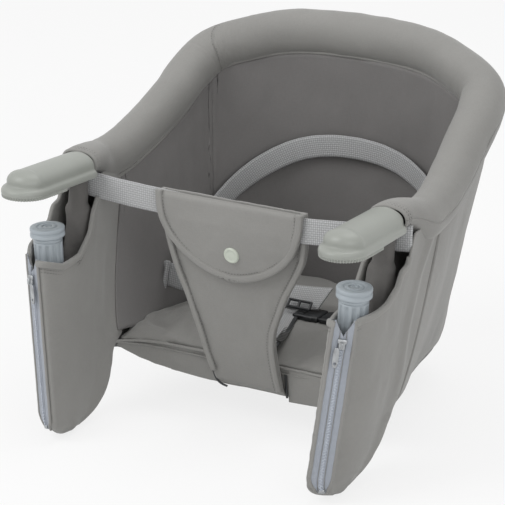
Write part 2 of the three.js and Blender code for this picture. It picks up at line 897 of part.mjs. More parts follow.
// Cushion: crowned top, drawn-in edge, flat underside on the board
function seatCushion() {
  const rows = cushionRows;
  const columns = cushionColumns;
  const edge = insetCurve(liningFootCurve, liningSkin + cushionClear);
  const front = shareAtReach(edge, baseFront + cushionClear);
  const top = [];
  const under = [];
  for (let i = 0; i < rows; i += 1) {
    const side = edge.getPointAt(THREE.MathUtils.lerp(front, 0.5, (i / (rows - 1)) ** cushionRowShare));
    const width = Math.max(side.x, baseHalfWidth / 12);
    const topRow = [];
    const underRow = [];
    for (let j = 0; j < columns; j += 1) {
      const across = (2 * j) / (columns - 1) - 1;
      const along = (2 * i) / (rows - 1) - 1;
      const crown = cushionCrown * (1 - across ** 4) * (1 - along ** 6);
      const x = width * across;
      topRow.push(vector(x, side.y, cushionFloor + cushionEdge + crown));
      underRow.push(vector(x, side.y, cushionFloor));
    }
    top.push(topRow);
    under.push(underRow);
  }
  return slab(top, under);
}

// Front band: the cover's fabric face over the base's front edge
function bandPoint(share, depth, forward) {
  const half = baseHalfWidth * baseOutlineShares[0][0];
  const x = THREE.MathUtils.lerp(-half, half, share);
  const bow = (1 - (2 * share - 1) ** 2) * bandThickness;
  return vector(x, baseFront - softClear - bow - forward, depth);
}

function frontBand() {
  const rows = Array.from({ length: 9 }, (_, i) => i / 8);
  const floor = bandThickness + softClear - baseFloor;
  const grid = (forward) => rows.map((share) => [0, 0.5, 1].map((up) =>
    bandPoint(share, floor + up * bandDepth, forward * (1 + Math.sin(Math.PI * up)))));
  return cut(slab(grid(bandThickness), grid(0)), railTube(softClear));
}

// Walls: slabs that run up from the base to the underside of the bolster
function footCurve(shares, middle) {
  return bothSides(shares.map(([x, y, z]) => vector(x * baseHalfWidth, y * baseReach, -z * wallFoot)), middle);
}

function outwardAt(curve, share) {
  const tangent = curve.getTangentAt(share);
  return vector(tangent.y, -tangent.x, 0).normalize().negate();
}

function wallGrid(foot, spread, skin, seat, [from, to, columns]) {
  const edge = shareAtReach(rimPath, seamTopReach);
  const drop = Math.sqrt(bolsterRadius ** 2 - (Math.abs(spread) - skin) ** 2) + seat;
  const grid = [];
  for (let i = 0; i < columns; i += 1) {
    const share = THREE.MathUtils.lerp(from, to, i / (columns - 1));
    const rimShare = THREE.MathUtils.lerp(1 - edge, edge, share);
    const out = outwardAt(rimPath, rimShare);
    const slope = rimPath.getTangentAt(rimShare).z;
    const top = rimPath.getPointAt(rimShare).addScaledVector(out, spread);
    top.z -= drop / Math.sqrt(1 - slope ** 2);
    const low = foot.getPointAt(share);
    const column = [];
    for (let j = 0; j < wallRows; j += 1) {
      const up = j / (wallRows - 1);
      const bulge = wallBulge * Math.sin(Math.PI * up ** wallBulgeShare);
      column.push(low.clone().lerp(top, up).addScaledVector(out, bulge));
    }
    grid.push(column);
  }
  return grid;
}

function wallSlab(foot, spread, skin, seat, span) {
  return slab(
    wallGrid(foot, spread, skin, seat, span),
    wallGrid(insetCurve(foot, skin), spread - skin, skin, seat, span),
  );
}

function insetCurve(curve, inset) {
  const points = Array.from({ length: curveSamples }, (_, i) => {
    const share = i / (curveSamples - 1);
    return curve.getPointAt(share).addScaledVector(outwardAt(curve, share), -inset);
  });
  return spline(points);
}

function liningPoint(share, up, inset) {
  const edge = shareAtReach(rimPath, seamTopReach);
  const rimShare = THREE.MathUtils.lerp(1 - edge, edge, share);
  const out = outwardAt(rimPath, rimShare);
  const spread = wallSpread + inset;
  const top = rimPath.getPointAt(rimShare).addScaledVector(out, -spread);
  top.z -= bolsterRadius;
  const low = insetCurve(liningFootCurve, liningSkin + inset).getPointAt(share);
  return low.lerp(top, up).addScaledVector(out, wallBulge * Math.sin(Math.PI * up ** wallBulgeShare));
}

const wallFootCurve = footCurve(wallFootShares, vector(0, baseReach, -wallFoot));
const liningFootCurve = footCurve(liningFootShares, vector(0, liningMiddleShares[0] * baseReach,
  -liningMiddleShares[1] * wallFoot));

// Clamp pouch: plan sections with a flat zip face, a wedge nose and a straight rear
function pouchAt(depth) {
  const share = THREE.MathUtils.clamp((depth - pouchTop) / (pouchKeel - pouchTop), 0, 1);
  const keel = Math.max(0, (depth - (pouchKeel - keelRadius)) / keelRadius);
  const close = Math.sqrt(Math.max(0, 1 - keel ** 2));
  return {
    x: THREE.MathUtils.lerp(pouchTopSpread, pouchFootSpread, share),
    front: THREE.MathUtils.lerp(pouchFrontTop, pouchFrontFoot, share),
    half: THREE.MathUtils.lerp(pouchHalfWidth, pouchFootHalfWidth, share),
    close,
    rear: rearAt(share) * pouchRearReach,
  };
}

function rearAt(share) {
  const next = Math.max(1, pouchRearShares.findIndex(([depth]) => depth >= share));
  const [a, b] = [pouchRearShares[next - 1], pouchRearShares[next]];
  return THREE.MathUtils.mapLinear(share, a[0], b[0], a[1], b[1]);
}

function pouchRing(depth, inset) {
  const at = pouchAt(depth);
  const half = Math.max((at.half - inset) * THREE.MathUtils.lerp(keelWidthShare, 1, at.close), pouchSkin);
  const flat = Math.min(zipFlat - inset / 2, half);
  const middle = (at.rear - at.front) / 2;
  const front = THREE.MathUtils.lerp(middle, -at.front + inset,
    THREE.MathUtils.lerp(keelFrontShare, 1, at.close));
  const rear = Math.max(at.rear - inset, front + pouchNose / 2);
  const length = rear - front;
  const nose = Math.min(pouchNose, length / 2);
  const side = [
    [flat, front],
    [THREE.MathUtils.lerp(flat, half, pouchCheekShares[0]), front + nose * pouchCheekShares[1]],
    [half, front + nose],
    [half, THREE.MathUtils.lerp(front + nose, rear, pouchFlankShare)],
    [half * pouchHeelShares[0], rear - (length - nose) * pouchHeelShares[1]],
    [half * pouchTailShare, rear],
  ];
  const near = side.map(([x, y]) => vector(at.x + x, y, -depth));
  const far = side.toReversed().map(([x, y]) => vector(at.x - x, y, -depth));
  return [...near, ...far];
}

function pouchBody(top, foot, inset) {
  const rings = Array.from({ length: pouchRings }, (_, i) => {
    const share = Math.sin((Math.PI / 2) * (i / (pouchRings - 1)));
    return pouchRing(THREE.MathUtils.lerp(top, foot, share), inset);
  });
  return ringBody(rings);
}

function mouthCutter() {
  const shape = new THREE.Shape();
  shape.moveTo(-bootLength, -pouchTop + overrun);
  shape.lineTo(-bootLength, -mouthDrop + 2 * overrun);
  shape.lineTo(-clampReach - padRadius, -mouthDrop + overrun);
  shape.quadraticCurveTo(-mouthReach, -mouthDrop - 3 * overrun, 0, -mouthDrop + 5 * overrun);
  shape.quadraticCurveTo(mouthReach / 2, -mouthDrop + mouthReach * mouthRiseShare,
    bolsterStart, -pouchTop + overrun);
  shape.closePath();
  const cutter = new THREE.ExtrudeGeometry(shape, {
    depth: 2 * pouchTopSpread, bevelEnabled: false, curveSegments: 8,
  });
  return cutter.rotateY(Math.PI / 2).rotateX(Math.PI / 2);
}

function seamCutter() {
  const far = 2 * seamTopReach;
  const slope = (seamTopReach - seamFootReach) / (seamFootDrop - seamTopDrop);
  const foot = seamFootReach - seamGap - slope * (pouchKeel - seamFootDrop);
  const shape = new THREE.Shape();
  shape.moveTo(foot, -pouchKeel);
  shape.lineTo(far, -pouchKeel);
  shape.lineTo(far, 0);
  shape.lineTo(seamTopReach - seamGap + slope * seamTopDrop, 0);
  shape.closePath();
  const cutter = new THREE.ExtrudeGeometry(shape, { depth: 2 * pouchTopSpread, bevelEnabled: false });
  return cutter.rotateY(Math.PI / 2).rotateX(Math.PI / 2);
}

function clampPouch() {
  const outer = pouchBody(pouchTop, pouchKeel, 0);
  const inner = pouchBody(pouchTop - softClear, pouchKeel - pouchSkin, pouchSkin);
  return cut(outer, inner, mouthCutter(), seamCutter(), railTube(softClear));
}

// Zip: tape on the pouch's flat front, slider and pull
const zipLean = new THREE.Vector3();
{
  const top = pouchAt(tapeTop);
  const foot = pouchAt(tapeFoot);
  zipLean.set(top.x - foot.x, foot.front - top.front, tapeFoot - tapeTop).normalize();
}

function zipPoint(depth, across, forward) {
  const at = pouchAt(depth);
  return vector(at.x + across, -at.front - forward, -depth);
}

function zipTape() {
  const depths = [0, 1].map((share) => THREE.MathUtils.lerp(tapeTop, tapeFoot, share));
  const grid = (forward) => depths.map((depth) => [-1, 1].map((side) =>
    zipPoint(depth, (side * tapeWidth) / 2, forward)));
  return slab(grid(clear + tapeThickness), grid(clear));
}

function leaning(geometry, depth, forward) {
  const turn = new THREE.Quaternion().setFromUnitVectors(vector(0, 0, 1), zipLean);
  const at = zipPoint(depth, 0, forward);
  return geometry.applyQuaternion(turn).translate(at.x, at.y, at.z);
}

const sliderDepth = tapeTop + sliderLength;

function zipSlider() {
  const body = new THREE.BoxGeometry(sliderWidth, sliderHeight, sliderLength);
  return leaning(body, sliderDepth, clear + tapeThickness + softClear + sliderHeight / 2);
}

function zipPull() {
  const forward = clear + tapeThickness + 2 * softClear + sliderHeight + pullThickness / 2;
  const blade = new THREE.BoxGeometry(pullWidth, pullThickness, pullLength).translate(0, 0, -pullLength / 2);
  const eye = rod(pullEye, 2 * pullThickness, 10).rotateX(Math.PI / 2)
    .translate(0, 0, -pullLength + pullWidth / 2);
  return leaning(cut(blade, eye), sliderDepth, forward);
}

// Front strap: webbing with a loop round each strut
function frontStrap() {
  const strut = strutAt(strapTop + webWidth / 2);
  const loop = frameRadius + loopSlack;
  const outer = loop + webThickness;
  const reach = Math.asin(Math.min(1, (strapReach - strut.y + webThickness / 2) / outer));
  const shape = new THREE.Shape();
  const join1 = Math.asin((strapReach - strut.y - webThickness / 2) / outer);
  shape.absarc(strut.x, strut.y, outer, Math.PI - join1, Math.PI - reach, false);
  shape.absarc(-strut.x, strut.y, outer, reach, join1, false);
  shape.closePath();
  [-1, 1].forEach((side) => {
    shape.holes.push(new THREE.Path().absarc(side * strut.x, strut.y, loop, 0, 2 * Math.PI, true));
  });
  return new THREE.ExtrudeGeometry(shape, { depth: webWidth, bevelEnabled: false, curveSegments: 11 })
    .translate(0, 0, -strapTop - webWidth);
}

// Crotch panel behind the strap, and the flap that folds over in front of it
const panelY = strapReach + webThickness / 2 + tunnelGap + panelThickness;
const flapY = strapReach - webThickness / 2 - tunnelGap;
const panelTop = strapTop - panelThickness;

function panelHalfWidth(share) {
  const next = Math.max(1, panelWidthShares.findIndex(([along]) => along >= share));
  const [a, b] = [panelWidthShares[next - 1], panelWidthShares[next]];
  return panelTopHalfWidth * THREE.MathUtils.mapLinear(share, a[0], b[0], a[1], b[1]);
}

function panelLine() {
  const foot = baseFloor + softClear;
  return spline([
    vector(0, panelY, -panelTop),
    vector(0, panelY, -strapTop - webWidth),
    vector(0, panelY + flapSlope * (snapDrop - webWidth), -strapTop - snapDrop),
    vector(0, panelY + flapSlope * (flapLength - webWidth), -strapTop - flapLength),
    vector(0, panelFootReach - panelThickness, -foot + 6 * panelThickness),
    vector(0, panelFootReach, -foot + panelThickness),
    vector(0, panelFootReach + 5 * panelThickness, -foot),
    vector(0, panelUnderReach, -foot),
  ]);
}

function alongLine(line, share) {
  const point = line.getPointAt(share);
  const tangent = line.getTangentAt(share);
  return { point, normal: vector(0, tangent.z, -tangent.y) };
}

function panelGrid(offset) {
  const line = panelLine();
  const rows = 20;
  return Array.from({ length: rows }, (_, i) => {
    const share = i / (rows - 1);
    const { point, normal } = alongLine(line, share);
    const half = panelHalfWidth(share);
    return [-1, -0.5, 0, 0.5, 1].map((across) =>
      vector(across * half, point.y + normal.y * offset, point.z + normal.z * offset));
  });
}

function crotchPanel() {
  return slab(panelGrid(0), panelGrid(panelThickness));
}

function flapLine(share) {
  const hang = Math.max(0, share * flapLength - webWidth);
  return vector(0, flapY + hang * flapSlope, -strapTop + panelThickness - share * flapLength);
}

function flapGrid(forward) {
  const rows = 13;
  return Array.from({ length: rows }, (_, i) => {
    const share = i / (rows - 1);
    const centre = flapLine(share);
    const half = flapHalfWidth * Math.sqrt(1 - share ** flapRoundShare) + flapThickness;
    return flapColumnShares.map((across) => vector(across * half, centre.y - forward, centre.z));
  });
}

function crotchFlap() {
  return slab(flapGrid(flapThickness), flapGrid(0));
}

// Snap pieces stand square to the slanting flap
const snapNormal = vector(0, -1, -flapSlope).normalize();

function facingOut(geometry, seat) {
  const turn = new THREE.Quaternion().setFromUnitVectors(vector(0, 0, 1), snapNormal);
  return geometry.applyQuaternion(turn).translate(seat.x, seat.y, seat.z);
}

function snapCap() {
  const seat = flapLine(snapDrop / flapLength).addScaledVector(snapNormal, flapThickness + clear);
  return facingOut(turned([
    [0, 0], [snapRadius, 0], [snapRadius, snapHeight / 2], [snapRadius - snapHeight / 2, snapHeight],
    [snapRadius / 2, snapHeight * snapDishShare], [0, snapHeight * snapDishShare],
  ], 16), seat);
}

function snapStud() {
  const room = webThickness + 2 * tunnelGap - 4 * clear;
  const seat = flapLine(snapDrop / flapLength).addScaledVector(snapNormal, -room - clear);
  return facingOut(turned([
    [0, 0], [studRadius, 0], [studRadius, room - studBevel], [studRadius - studBevel, room], [0, room],
  ], 12), seat);
}

// Waist belt: a ribbon that lies along the lining and comes forward to the buckle
function ribbon(line, width, thickness, steps, lieFlat) {
  const front = [];
  const back = [];
  for (let i = 0; i < steps; i += 1) {
    const share = i / (steps - 1);
    const point = line.getPointAt(share);
    const tangent = line.getTangentAt(share);
    const up = vector(0, 0, 1).lerp(vector(0, 1, 0), lieFlat(share)).normalize();
    const across = up.addScaledVector(tangent, -up.dot(tangent)).normalize();
    const normal = tangent.clone().cross(across);
    const edge = (side, offset) => point.clone().addScaledVector(across, (side * width) / 2)
      .addScaledVector(normal, offset * thickness);
    front.push([edge(-1, 0.5), edge(1, 0.5)]);
    back.push([edge(-1, -0.5), edge(1, -0.5)]);
  }
  return slab(front, back);
}

const cushionTop = cushionFloor + cushionEdge + cushionCrown;
const buckleHeight = -cushionTop - buckleThickness / 2 - buckleRest;
const buckleCentre = vector(buckleOffset, buckleReach, -buckleHeight);

function beltCurve() {
  const points = beltPathShares.map(([along, up]) => liningPoint(along, up, beltLift));
  const left = points.slice(1).map((p) => vector(-p.x, p.y, p.z)).toReversed();
  const leftEnd = vector(buckleCentre.x - buckleLength / 2 - clear - glideBar, buckleReach, -buckleHeight);
  const leftTurn = vector(leftEnd.x - 2 * beltWidth, buckleReach, -buckleHeight + beltWidth / 4);
  const rightEnd = vector(buckleCentre.x + buckleLength / 2 + tongueGrip + clear, buckleReach, -buckleHeight);
  const rightTurn = vector(rightEnd.x + beltTurnShare * beltWidth, buckleReach, -buckleHeight + beltWidth / 4);
  return spline([leftEnd, leftTurn, ...left, ...points, rightTurn, rightEnd]);
}

function waistBelt() {
  const flat = (share) => THREE.MathUtils.smoothstep(Math.abs(2 * share - 1), ...beltFlatShares);
  return ribbon(beltCurve(), beltWidth, beltThickness, beltSteps, flat);
}

function block(length, width, height, centre) {
  return new THREE.BoxGeometry(length, width, height).translate(centre.x, centre.y, centre.z);
}

function buckleBody() {
  const shell = block(buckleLength, buckleWidth, buckleThickness, buckleCentre);
  const mouth = buckleCentre.clone().add(vector(buckleWall, 0, 0));
  const room = block(buckleLength, buckleWidth - 2 * buckleWall, buckleThickness - 2 * buckleWall, mouth);
  const window = block(buckleLength / 3, buckleWidth + overrun, buckleThickness - 2 * buckleWall,
    buckleCentre.clone().add(vector(buckleLength / 8, 0, 0)));
  return cut(shell, room, window);
}

function buckleTongue() {
  const thick = buckleThickness - 2 * buckleWall - 2 * softClear;
  const start = buckleCentre.x + buckleLength / 2 + tongueGrip;
  const grip = block(tongueGrip - softClear, buckleWidth - 2 * buckleWall, buckleThickness - 2 * softClear,
    vector(start - tongueGrip / 2, buckleReach, -buckleHeight));
  const inside = tongueLength - tongueGrip;
  const prongs = [-1, 0, 1].map((side) => block(inside, buckleWidth / 7, thick,
    vector(start - tongueGrip - inside / 2 + overrun, buckleReach + side * (buckleWidth / 2 - 3 * buckleWall),
      -buckleHeight)));
  return join(grip, ...prongs);
}

function triGlide() {
  const line = beltCurve();
  const on = stretch(line, 0, 0.2, 60).find((p) => p.x < buckleCentre.x - buckleLength / 2 - glideWidth);
  const at = vector(on.x, on.y, on.z + beltThickness / 2 + glideLift + glideThickness / 2);
  const frame = block(glideLength, glideWidth, glideThickness, at);
  const slotWidth = (glideLength - 3 * glideBar) / 2;
  const slots = [-1, 1].map((side) => block(slotWidth, glideWidth - 2 * glideBar, 2 * glideThickness,
    at.clone().add(vector(side * (slotWidth + glideBar) / 2, 0, 0))));
  return cut(frame, ...slots);
}

function crotchStrap() {
  const line = spline([
    vector(buckleCentre.x, buckleReach - buckleWidth / 2 - softClear, -buckleHeight),
    vector(buckleCentre.x * crotchSagShare, (buckleReach + crotchStrapReach) / 2 - webThickness,
      -buckleHeight - webThickness),
    vector(buckleCentre.x / 2, crotchStrapReach, cushionTop + webThickness),
  ]);
  const rows = 7;
  const grid = (lift) => Array.from({ length: rows }, (_, i) => {
    const p = line.getPointAt(i / (rows - 1));
    return [-1, 1].map((side) => vector(p.x + (side * crotchStrapWidth) / 2, p.y, p.z + lift));
  });
  return slab(grid(webThickness / 2), grid(-webThickness / 2));
}

// Assembly
for (const [side, word] of [[-1, 'left'], [1, 'right']]) {
  const frame = sideGroup(side);
  place(frame, `side_frame_${word}`, sideFrame(), steel);
  const clamp = new THREE.Group();
  clamp.position.y = -clampReach;
  frame.add(clamp);
  place(clamp, `clamp_foot_${word}`, clampFoot(), steel);
  place(clamp, `spindle_${word}`, spindle(), zinc);
  place(clamp, `hand_nut_${word}`, handNut(), clampPlastic);
  place(clamp, `clamp_pad_${word}`, clampPad(), padRubber);
  place(clamp, `pad_screw_${word}`, padScrew(), clampPlastic);

  const arm = new THREE.Group();
  arm.position.x = side * armX;
  root.add(arm);
  place(arm, `arm_boot_${word}`, armBoot(), bootRubber);
  place(arm, `grip_sole_${word}`, gripSole(), bootRubber);

  const turn = side > 0 ? (geometry) => geometry : mirrored;
  place(root, `hinge_bracket_${word}`, turn(hingeBracket()), steel);
  place(root, `hinge_pin_${word}`, turn(hingePin()), zinc);
  place(root, `bow_lug_${word}`, turn(bowLug()), steel);
  place(root, `hinge_cuff_${word}`, turn(hingeCuff()), greyFabric);
  place(root, `rail_bolt_${word}`, turn(railBolt()), zinc);
  place(root, `clamp_pouch_${word}`, turn(clampPouch()), greyFabric);
  place(root, `zip_tape_${word}`, turn(zipTape()), zipFabric);
  place(root, `zip_slider_${word}`, turn(zipSlider()), zinc);
  place(root, `zip_pull_${word}`, turn(zipPull()), zinc);
}

place(root, 'back_bow', backBow(), steel);
place(root, 'rim_bolster', bolster(), greyFabric);
place(root, 'wall_cover',
  wallSlab(wallFootCurve, wallSpread, wallSkin, coverSeat, [0, 1, coverColumns]), greyFabric);
['left', 'back', 'right'].forEach((word, i) => {
  const gap = liningGap / rimReach;
  const from = liningSeamShares[i] + (i > 0 ? gap : 0);
  const to = liningSeamShares[i + 1] - (i < 2 ? gap : 0);
  const span = [from, to, liningColumns];
  const panel = wallSlab(liningFootCurve, liningSkin - wallSpread, liningSkin, liningSeats[i], span);
  place(root, `lining_${word}`, panel, liningFabric);
});
place(root, 'seat_rail', seatRail(), steel);
place(root, 'front_rail', frontRail(), steel);
place(root, 'seat_board', seatBoard(), baseBoard);
boardScrewPlaces.forEach((at, i) => place(root, `board_screw_${i + 1}`, boardScrew(at), zinc));
place(root, 'seat_tray', seatTray(), baseBoard);
place(root, 'front_band', frontBand(), greyFabric);
place(root, 'seat_cushion', seatCushion(), greyFabric);
place(root, 'front_strap', frontStrap(), webbing);
place(root, 'crotch_panel', crotchPanel(), greyFabric);
place(root, 'crotch_flap', crotchFlap(), greyFabric);
place(root, 'snap_cap', snapCap(), snapPlastic);
place(root, 'snap_stud', snapStud(), snapPlastic);
place(root, 'waist_belt', waistBelt(), webbing);
place(root, 'buckle_body', buckleBody(), blackPlastic);
place(root, 'buckle_tongue', buckleTongue(), blackPlastic);
place(root, 'tri_glide', triGlide(), blackPlastic);
place(root, 'crotch_strap', crotchStrap(), blackPlastic);

export default root;
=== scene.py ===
"""Hook-on table chair: the soft cover, webbing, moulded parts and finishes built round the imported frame."""

import math

import bmesh
import bpy
from bpy.props import FloatProperty, FloatVectorProperty, PointerProperty
from mathutils import Matrix, Vector, noise


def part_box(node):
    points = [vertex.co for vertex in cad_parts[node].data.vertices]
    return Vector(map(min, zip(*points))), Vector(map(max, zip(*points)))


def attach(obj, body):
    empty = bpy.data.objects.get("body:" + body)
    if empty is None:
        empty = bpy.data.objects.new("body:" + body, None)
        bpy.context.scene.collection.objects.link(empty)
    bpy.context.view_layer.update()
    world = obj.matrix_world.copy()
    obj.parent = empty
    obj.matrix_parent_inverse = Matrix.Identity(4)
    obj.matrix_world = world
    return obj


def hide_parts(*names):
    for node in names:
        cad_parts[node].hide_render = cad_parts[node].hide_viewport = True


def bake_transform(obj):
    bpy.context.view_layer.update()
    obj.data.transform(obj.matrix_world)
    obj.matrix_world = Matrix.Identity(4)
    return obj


bl_info = {
    "name": "Hook-on table chair",
    "version": (1, 0, 0),
    "blender": (4, 5, 0),
    "location": "3D View > Sidebar > Chair",
    "description": "Builds the cover, webbing and moulded parts of a hook-on table chair",
    "category": "Add Mesh",
}

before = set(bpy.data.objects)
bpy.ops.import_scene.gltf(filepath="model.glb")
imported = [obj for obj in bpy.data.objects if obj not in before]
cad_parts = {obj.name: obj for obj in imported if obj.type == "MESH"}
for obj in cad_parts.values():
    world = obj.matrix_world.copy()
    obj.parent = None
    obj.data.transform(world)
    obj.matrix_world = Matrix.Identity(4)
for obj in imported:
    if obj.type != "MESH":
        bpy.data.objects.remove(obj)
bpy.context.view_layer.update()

MM = 0.001
SIDES = {"left": -1, "right": 1}


def linear(hex_code):
    """A written sRGB colour as linear light."""
    parts = [int(hex_code[i : i + 2], 16) / 255 for i in (1, 3, 5)]
    return tuple(c / 12.92 if c <= 0.04045 else ((c + 0.055) / 1.055) ** 2.4 for c in parts)


def lerp(a, b, share):
    return a + (b - a) * share


def smooth(low, high, value):
    share = min(1, max(0, (value - low) / (high - low)))
    return share * share * (3 - 2 * share)


def table(pairs, value):
    """A value read from a table of (place, value) pairs by straight steps."""
    for (a, low), (b, high) in zip(pairs, pairs[1:]):
        if value <= b:
            return lerp(low, high, max(0, value - a) / (b - a))
    return pairs[-1][1]


def mm(x, y, z):
    return Vector((x, y, z)) * MM


# Sizes and colours a user may change


class ChairSizes(bpy.types.PropertyGroup):
    """Sizes of the trim that is sewn on the chair's cover."""

    piping: FloatProperty(
        name="Piping", description="Radius of the piping in the seams", default=1.9 * MM, unit="LENGTH")
    binding: FloatProperty(
        name="Binding", description="Width of the tape bound over cut edges", default=6.4 * MM, unit="LENGTH")
    stitch: FloatProperty(
        name="Stitch", description="Length of one stitch and its gap", default=3.2 * MM, unit="LENGTH")
    weave: FloatProperty(
        name="Weave", description="Width of one thread of the cloth", default=0.55 * MM, unit="LENGTH")
    rib: FloatProperty(
        name="Rib", description="Width of one rib of the webbing", default=2.2 * MM, unit="LENGTH")
    crease: FloatProperty(
        name="Crease", description="Depth of the soft creases in the cover", default=1.1 * MM, unit="LENGTH")


class ChairColours(bpy.types.PropertyGroup):
    """Colours of the chair's materials."""

    cloth: FloatVectorProperty(
        name="Cloth", description="Outside of the cover", default=linear("#91908d"), subtype="COLOR")
    # Painted shade: this cloth is darker than the cover to paint the shade inside the pouches.
    inside: FloatVectorProperty(
        name="Inside", description="Cloth inside the pouches", default=linear("#686664"), subtype="COLOR")
    lining: FloatVectorProperty(
        name="Lining", description="Inside of the cover", default=linear("#7e7c7b"), subtype="COLOR")
    webbing: FloatVectorProperty(
        name="Webbing", description="Front strap and waist belt", default=linear("#bdbebf"), subtype="COLOR")
    boot: FloatVectorProperty(
        name="Boots", description="Moulded arm boots", default=linear("#989b95"), subtype="COLOR")
    clamp: FloatVectorProperty(
        name="Clamps", description="Moulded hand nuts and pads", default=linear("#a3abb1"), subtype="COLOR")
    zip: FloatVectorProperty(
        name="Zip", description="Zip tape and coil", default=linear("#bcc2cc"), subtype="COLOR")
    steel: FloatVectorProperty(
        name="Steel", description="Painted tube", default=linear("#3a3b3c"), subtype="COLOR")
    base: FloatVectorProperty(
        name="Base", description="Seat base", default=linear("#5f5f5e"), subtype="COLOR")


# Shader expressions


class Value:
    """A socket that takes part in Python sums; each operator adds its Math node."""

    def __init__(self, maker, socket):
        self.maker = maker
        self.socket = socket

    def math(self, operation, *others):
        values = {i: other for i, other in enumerate((self, *others))}
        return self.maker.node("ShaderNodeMath", {"operation": operation}, values)

    def output(self, name):
        return Value(self.maker, self.socket.node.outputs[name])

    def __add__(self, other):
        return self.math("ADD", other)

    def __sub__(self, other):
        return self.math("SUBTRACT", other)

    def __rsub__(self, other):
        return self.maker.node("ShaderNodeMath", {"operation": "SUBTRACT"}, {0: other, 1: self})

    def __mul__(self, other):
        return self.math("MULTIPLY", other)

    def __pow__(self, other):
        return self.math("POWER", other)

    __radd__ = __add__
    __rmul__ = __mul__

    def sin(self):
        return self.math("SINE")

    def size(self):
        return self.math("ABSOLUTE")

    def ramp(self, low, high):
        """0 at low and 1 at high, held outside them."""
        sockets = {"Value": self, "From Min": low, "From Max": high}
        return self.maker.node("ShaderNodeMapRange", {"clamp": True}, sockets)


class Finish:
    """One material, or the world, made as expressions on its nodes."""

    def __init__(self, owner):
        self.owner = owner
        owner.use_nodes = True
        self.tree = owner.node_tree
        self.tree.nodes.clear()

    def node(self, kind, settings=None, sockets=None, output=0):
        made = self.tree.nodes.new(kind)
        for key, value in (settings or {}).items():
            setattr(made, key, value)
        for key, value in (sockets or {}).items():
            if isinstance(value, Value):
                self.tree.links.new(value.socket, made.inputs[key])
            else:
                made.inputs[key].default_value = value
        return Value(self, made.outputs[output])

    def place(self):
        return self.node("ShaderNodeTexCoord", output="Object")

    def surface(self):
        """The piece's own UV map, in metres."""
        return self.node("ShaderNodeUVMap", {"uv_map": "UVMap"})

    def split(self, vector):
        parts = self.node("ShaderNodeSeparateXYZ", None, {0: vector})
        return parts.output("X"), parts.output("Y"), parts.output("Z")

    def noise(self, vector, scale, detail=3.0, rough=0.5):
        sockets = {"Vector": vector, "Scale": scale, "Detail": detail, "Roughness": rough}
        return self.node("ShaderNodeTexNoise", None, sockets)

    def stretched(self, vector, scale):
        return self.node("ShaderNodeVectorMath", {"operation": "MULTIPLY"}, {0: vector, 1: scale})

    def mixed(self, factor, first, second):
        """A colour between two, by a value from 0 to 1."""
        sockets = {0: factor, 6: first, 7: second}
        return self.node("ShaderNodeMix", {"data_type": "RGBA"}, sockets, 2)

    def bump(self, height, strength=1.0):
        return self.node("ShaderNodeBump", None, {"Height": height, "Strength": strength, "Distance": 1.0})

    def finish(self, **sockets):
        named = {key.replace("_", " "): value for key, value in sockets.items()}
        shader = self.node("ShaderNodeBsdfPrincipled", None, named)
        self.show(shader, "ShaderNodeOutputMaterial")
        return self.owner

    def show(self, shader, kind):
        """Links a shader to an output node of its own."""
        made = self.tree.nodes.new(kind)
        self.tree.links.new(shader.socket, made.inputs["Surface"])


def new_finish(name):
    return Finish(bpy.data.materials.new(name))


def shade(colour, factor):
    return (*(c * factor for c in colour), 1.0)


def woven(name, colour, pitch, sheen=0.25):
    """Fine plain polyester weave with soft shade and thread variation."""
    f = new_finish(name)
    u, v, _ = f.split(f.surface())
    turn = math.pi / pitch
    over = (u * turn).sin() * (v * turn).sin()
    slub = f.noise(f.stretched(f.surface(), (180.0, 1400.0, 1.0)), 1.0, 2.0)
    cross = f.noise(f.stretched(f.surface(), (1400.0, 180.0, 1.0)), 1.0, 2.0)
    cloud = f.noise(f.place(), 14.0, 4.0, 0.55)
    shadeful = cloud * 0.5 + slub * 0.25 + cross * 0.25
    base = f.mixed(shadeful.ramp(0.32, 0.68), shade(colour, 0.9), shade(colour, 1.1))
    base = f.mixed(over.ramp(-1.0, 1.0) * 0.25, base, shade(colour, 0.82))
    height = over * 0.00004 + slub * 0.00006 + cross * 0.00006 + f.noise(f.place(), 220.0) * 0.0001
    return f.finish(
        Base_Color=base, Roughness=cloud.ramp(0.2, 0.8) * 0.12 + 0.68, Normal=f.bump(height, 0.7),
        Sheen_Weight=sheen, Sheen_Roughness=0.45, Specular_IOR_Level=0.35)


def ribbed(name, colour, pitch):
    """Polyester webbing: a grid of raised floats, with shade painted into the hollows between them."""
    f = new_finish(name)
    u, v, _ = f.split(f.surface())
    turn = math.pi / pitch
    across, along = (u * turn).sin(), (v * turn).sin()
    grid = (across.size() * along.size()) ** 0.6
    turned = (across * along).ramp(-0.2, 0.2)
    fibre = f.noise(f.stretched(f.surface(), (2200.0, 500.0, 1.0)), 1.0, 2.0)
    cloud = f.noise(f.place(), 30.0)
    # Painted shade: the hollows are painted darker and the floats lighter; the twill turn and the fibre noise
    # add the webbing's own tone.
    lit = grid.ramp(0.1, 0.8) * 0.7 + turned * 0.12 + fibre * 0.18
    base = f.mixed(lit, shade(colour, 0.42), shade(colour, 1.16))
    base = f.mixed(cloud.ramp(0.3, 0.7) * 0.2, base, shade(colour, 0.84))
    height = grid * 0.00034 + fibre * 0.00006
    return f.finish(
        Base_Color=base, Roughness=0.62 - grid.ramp(0.0, 1.0) * 0.1, Normal=f.bump(height, 0.9),
        Sheen_Weight=0.15, Sheen_Roughness=0.4, Specular_IOR_Level=0.4)


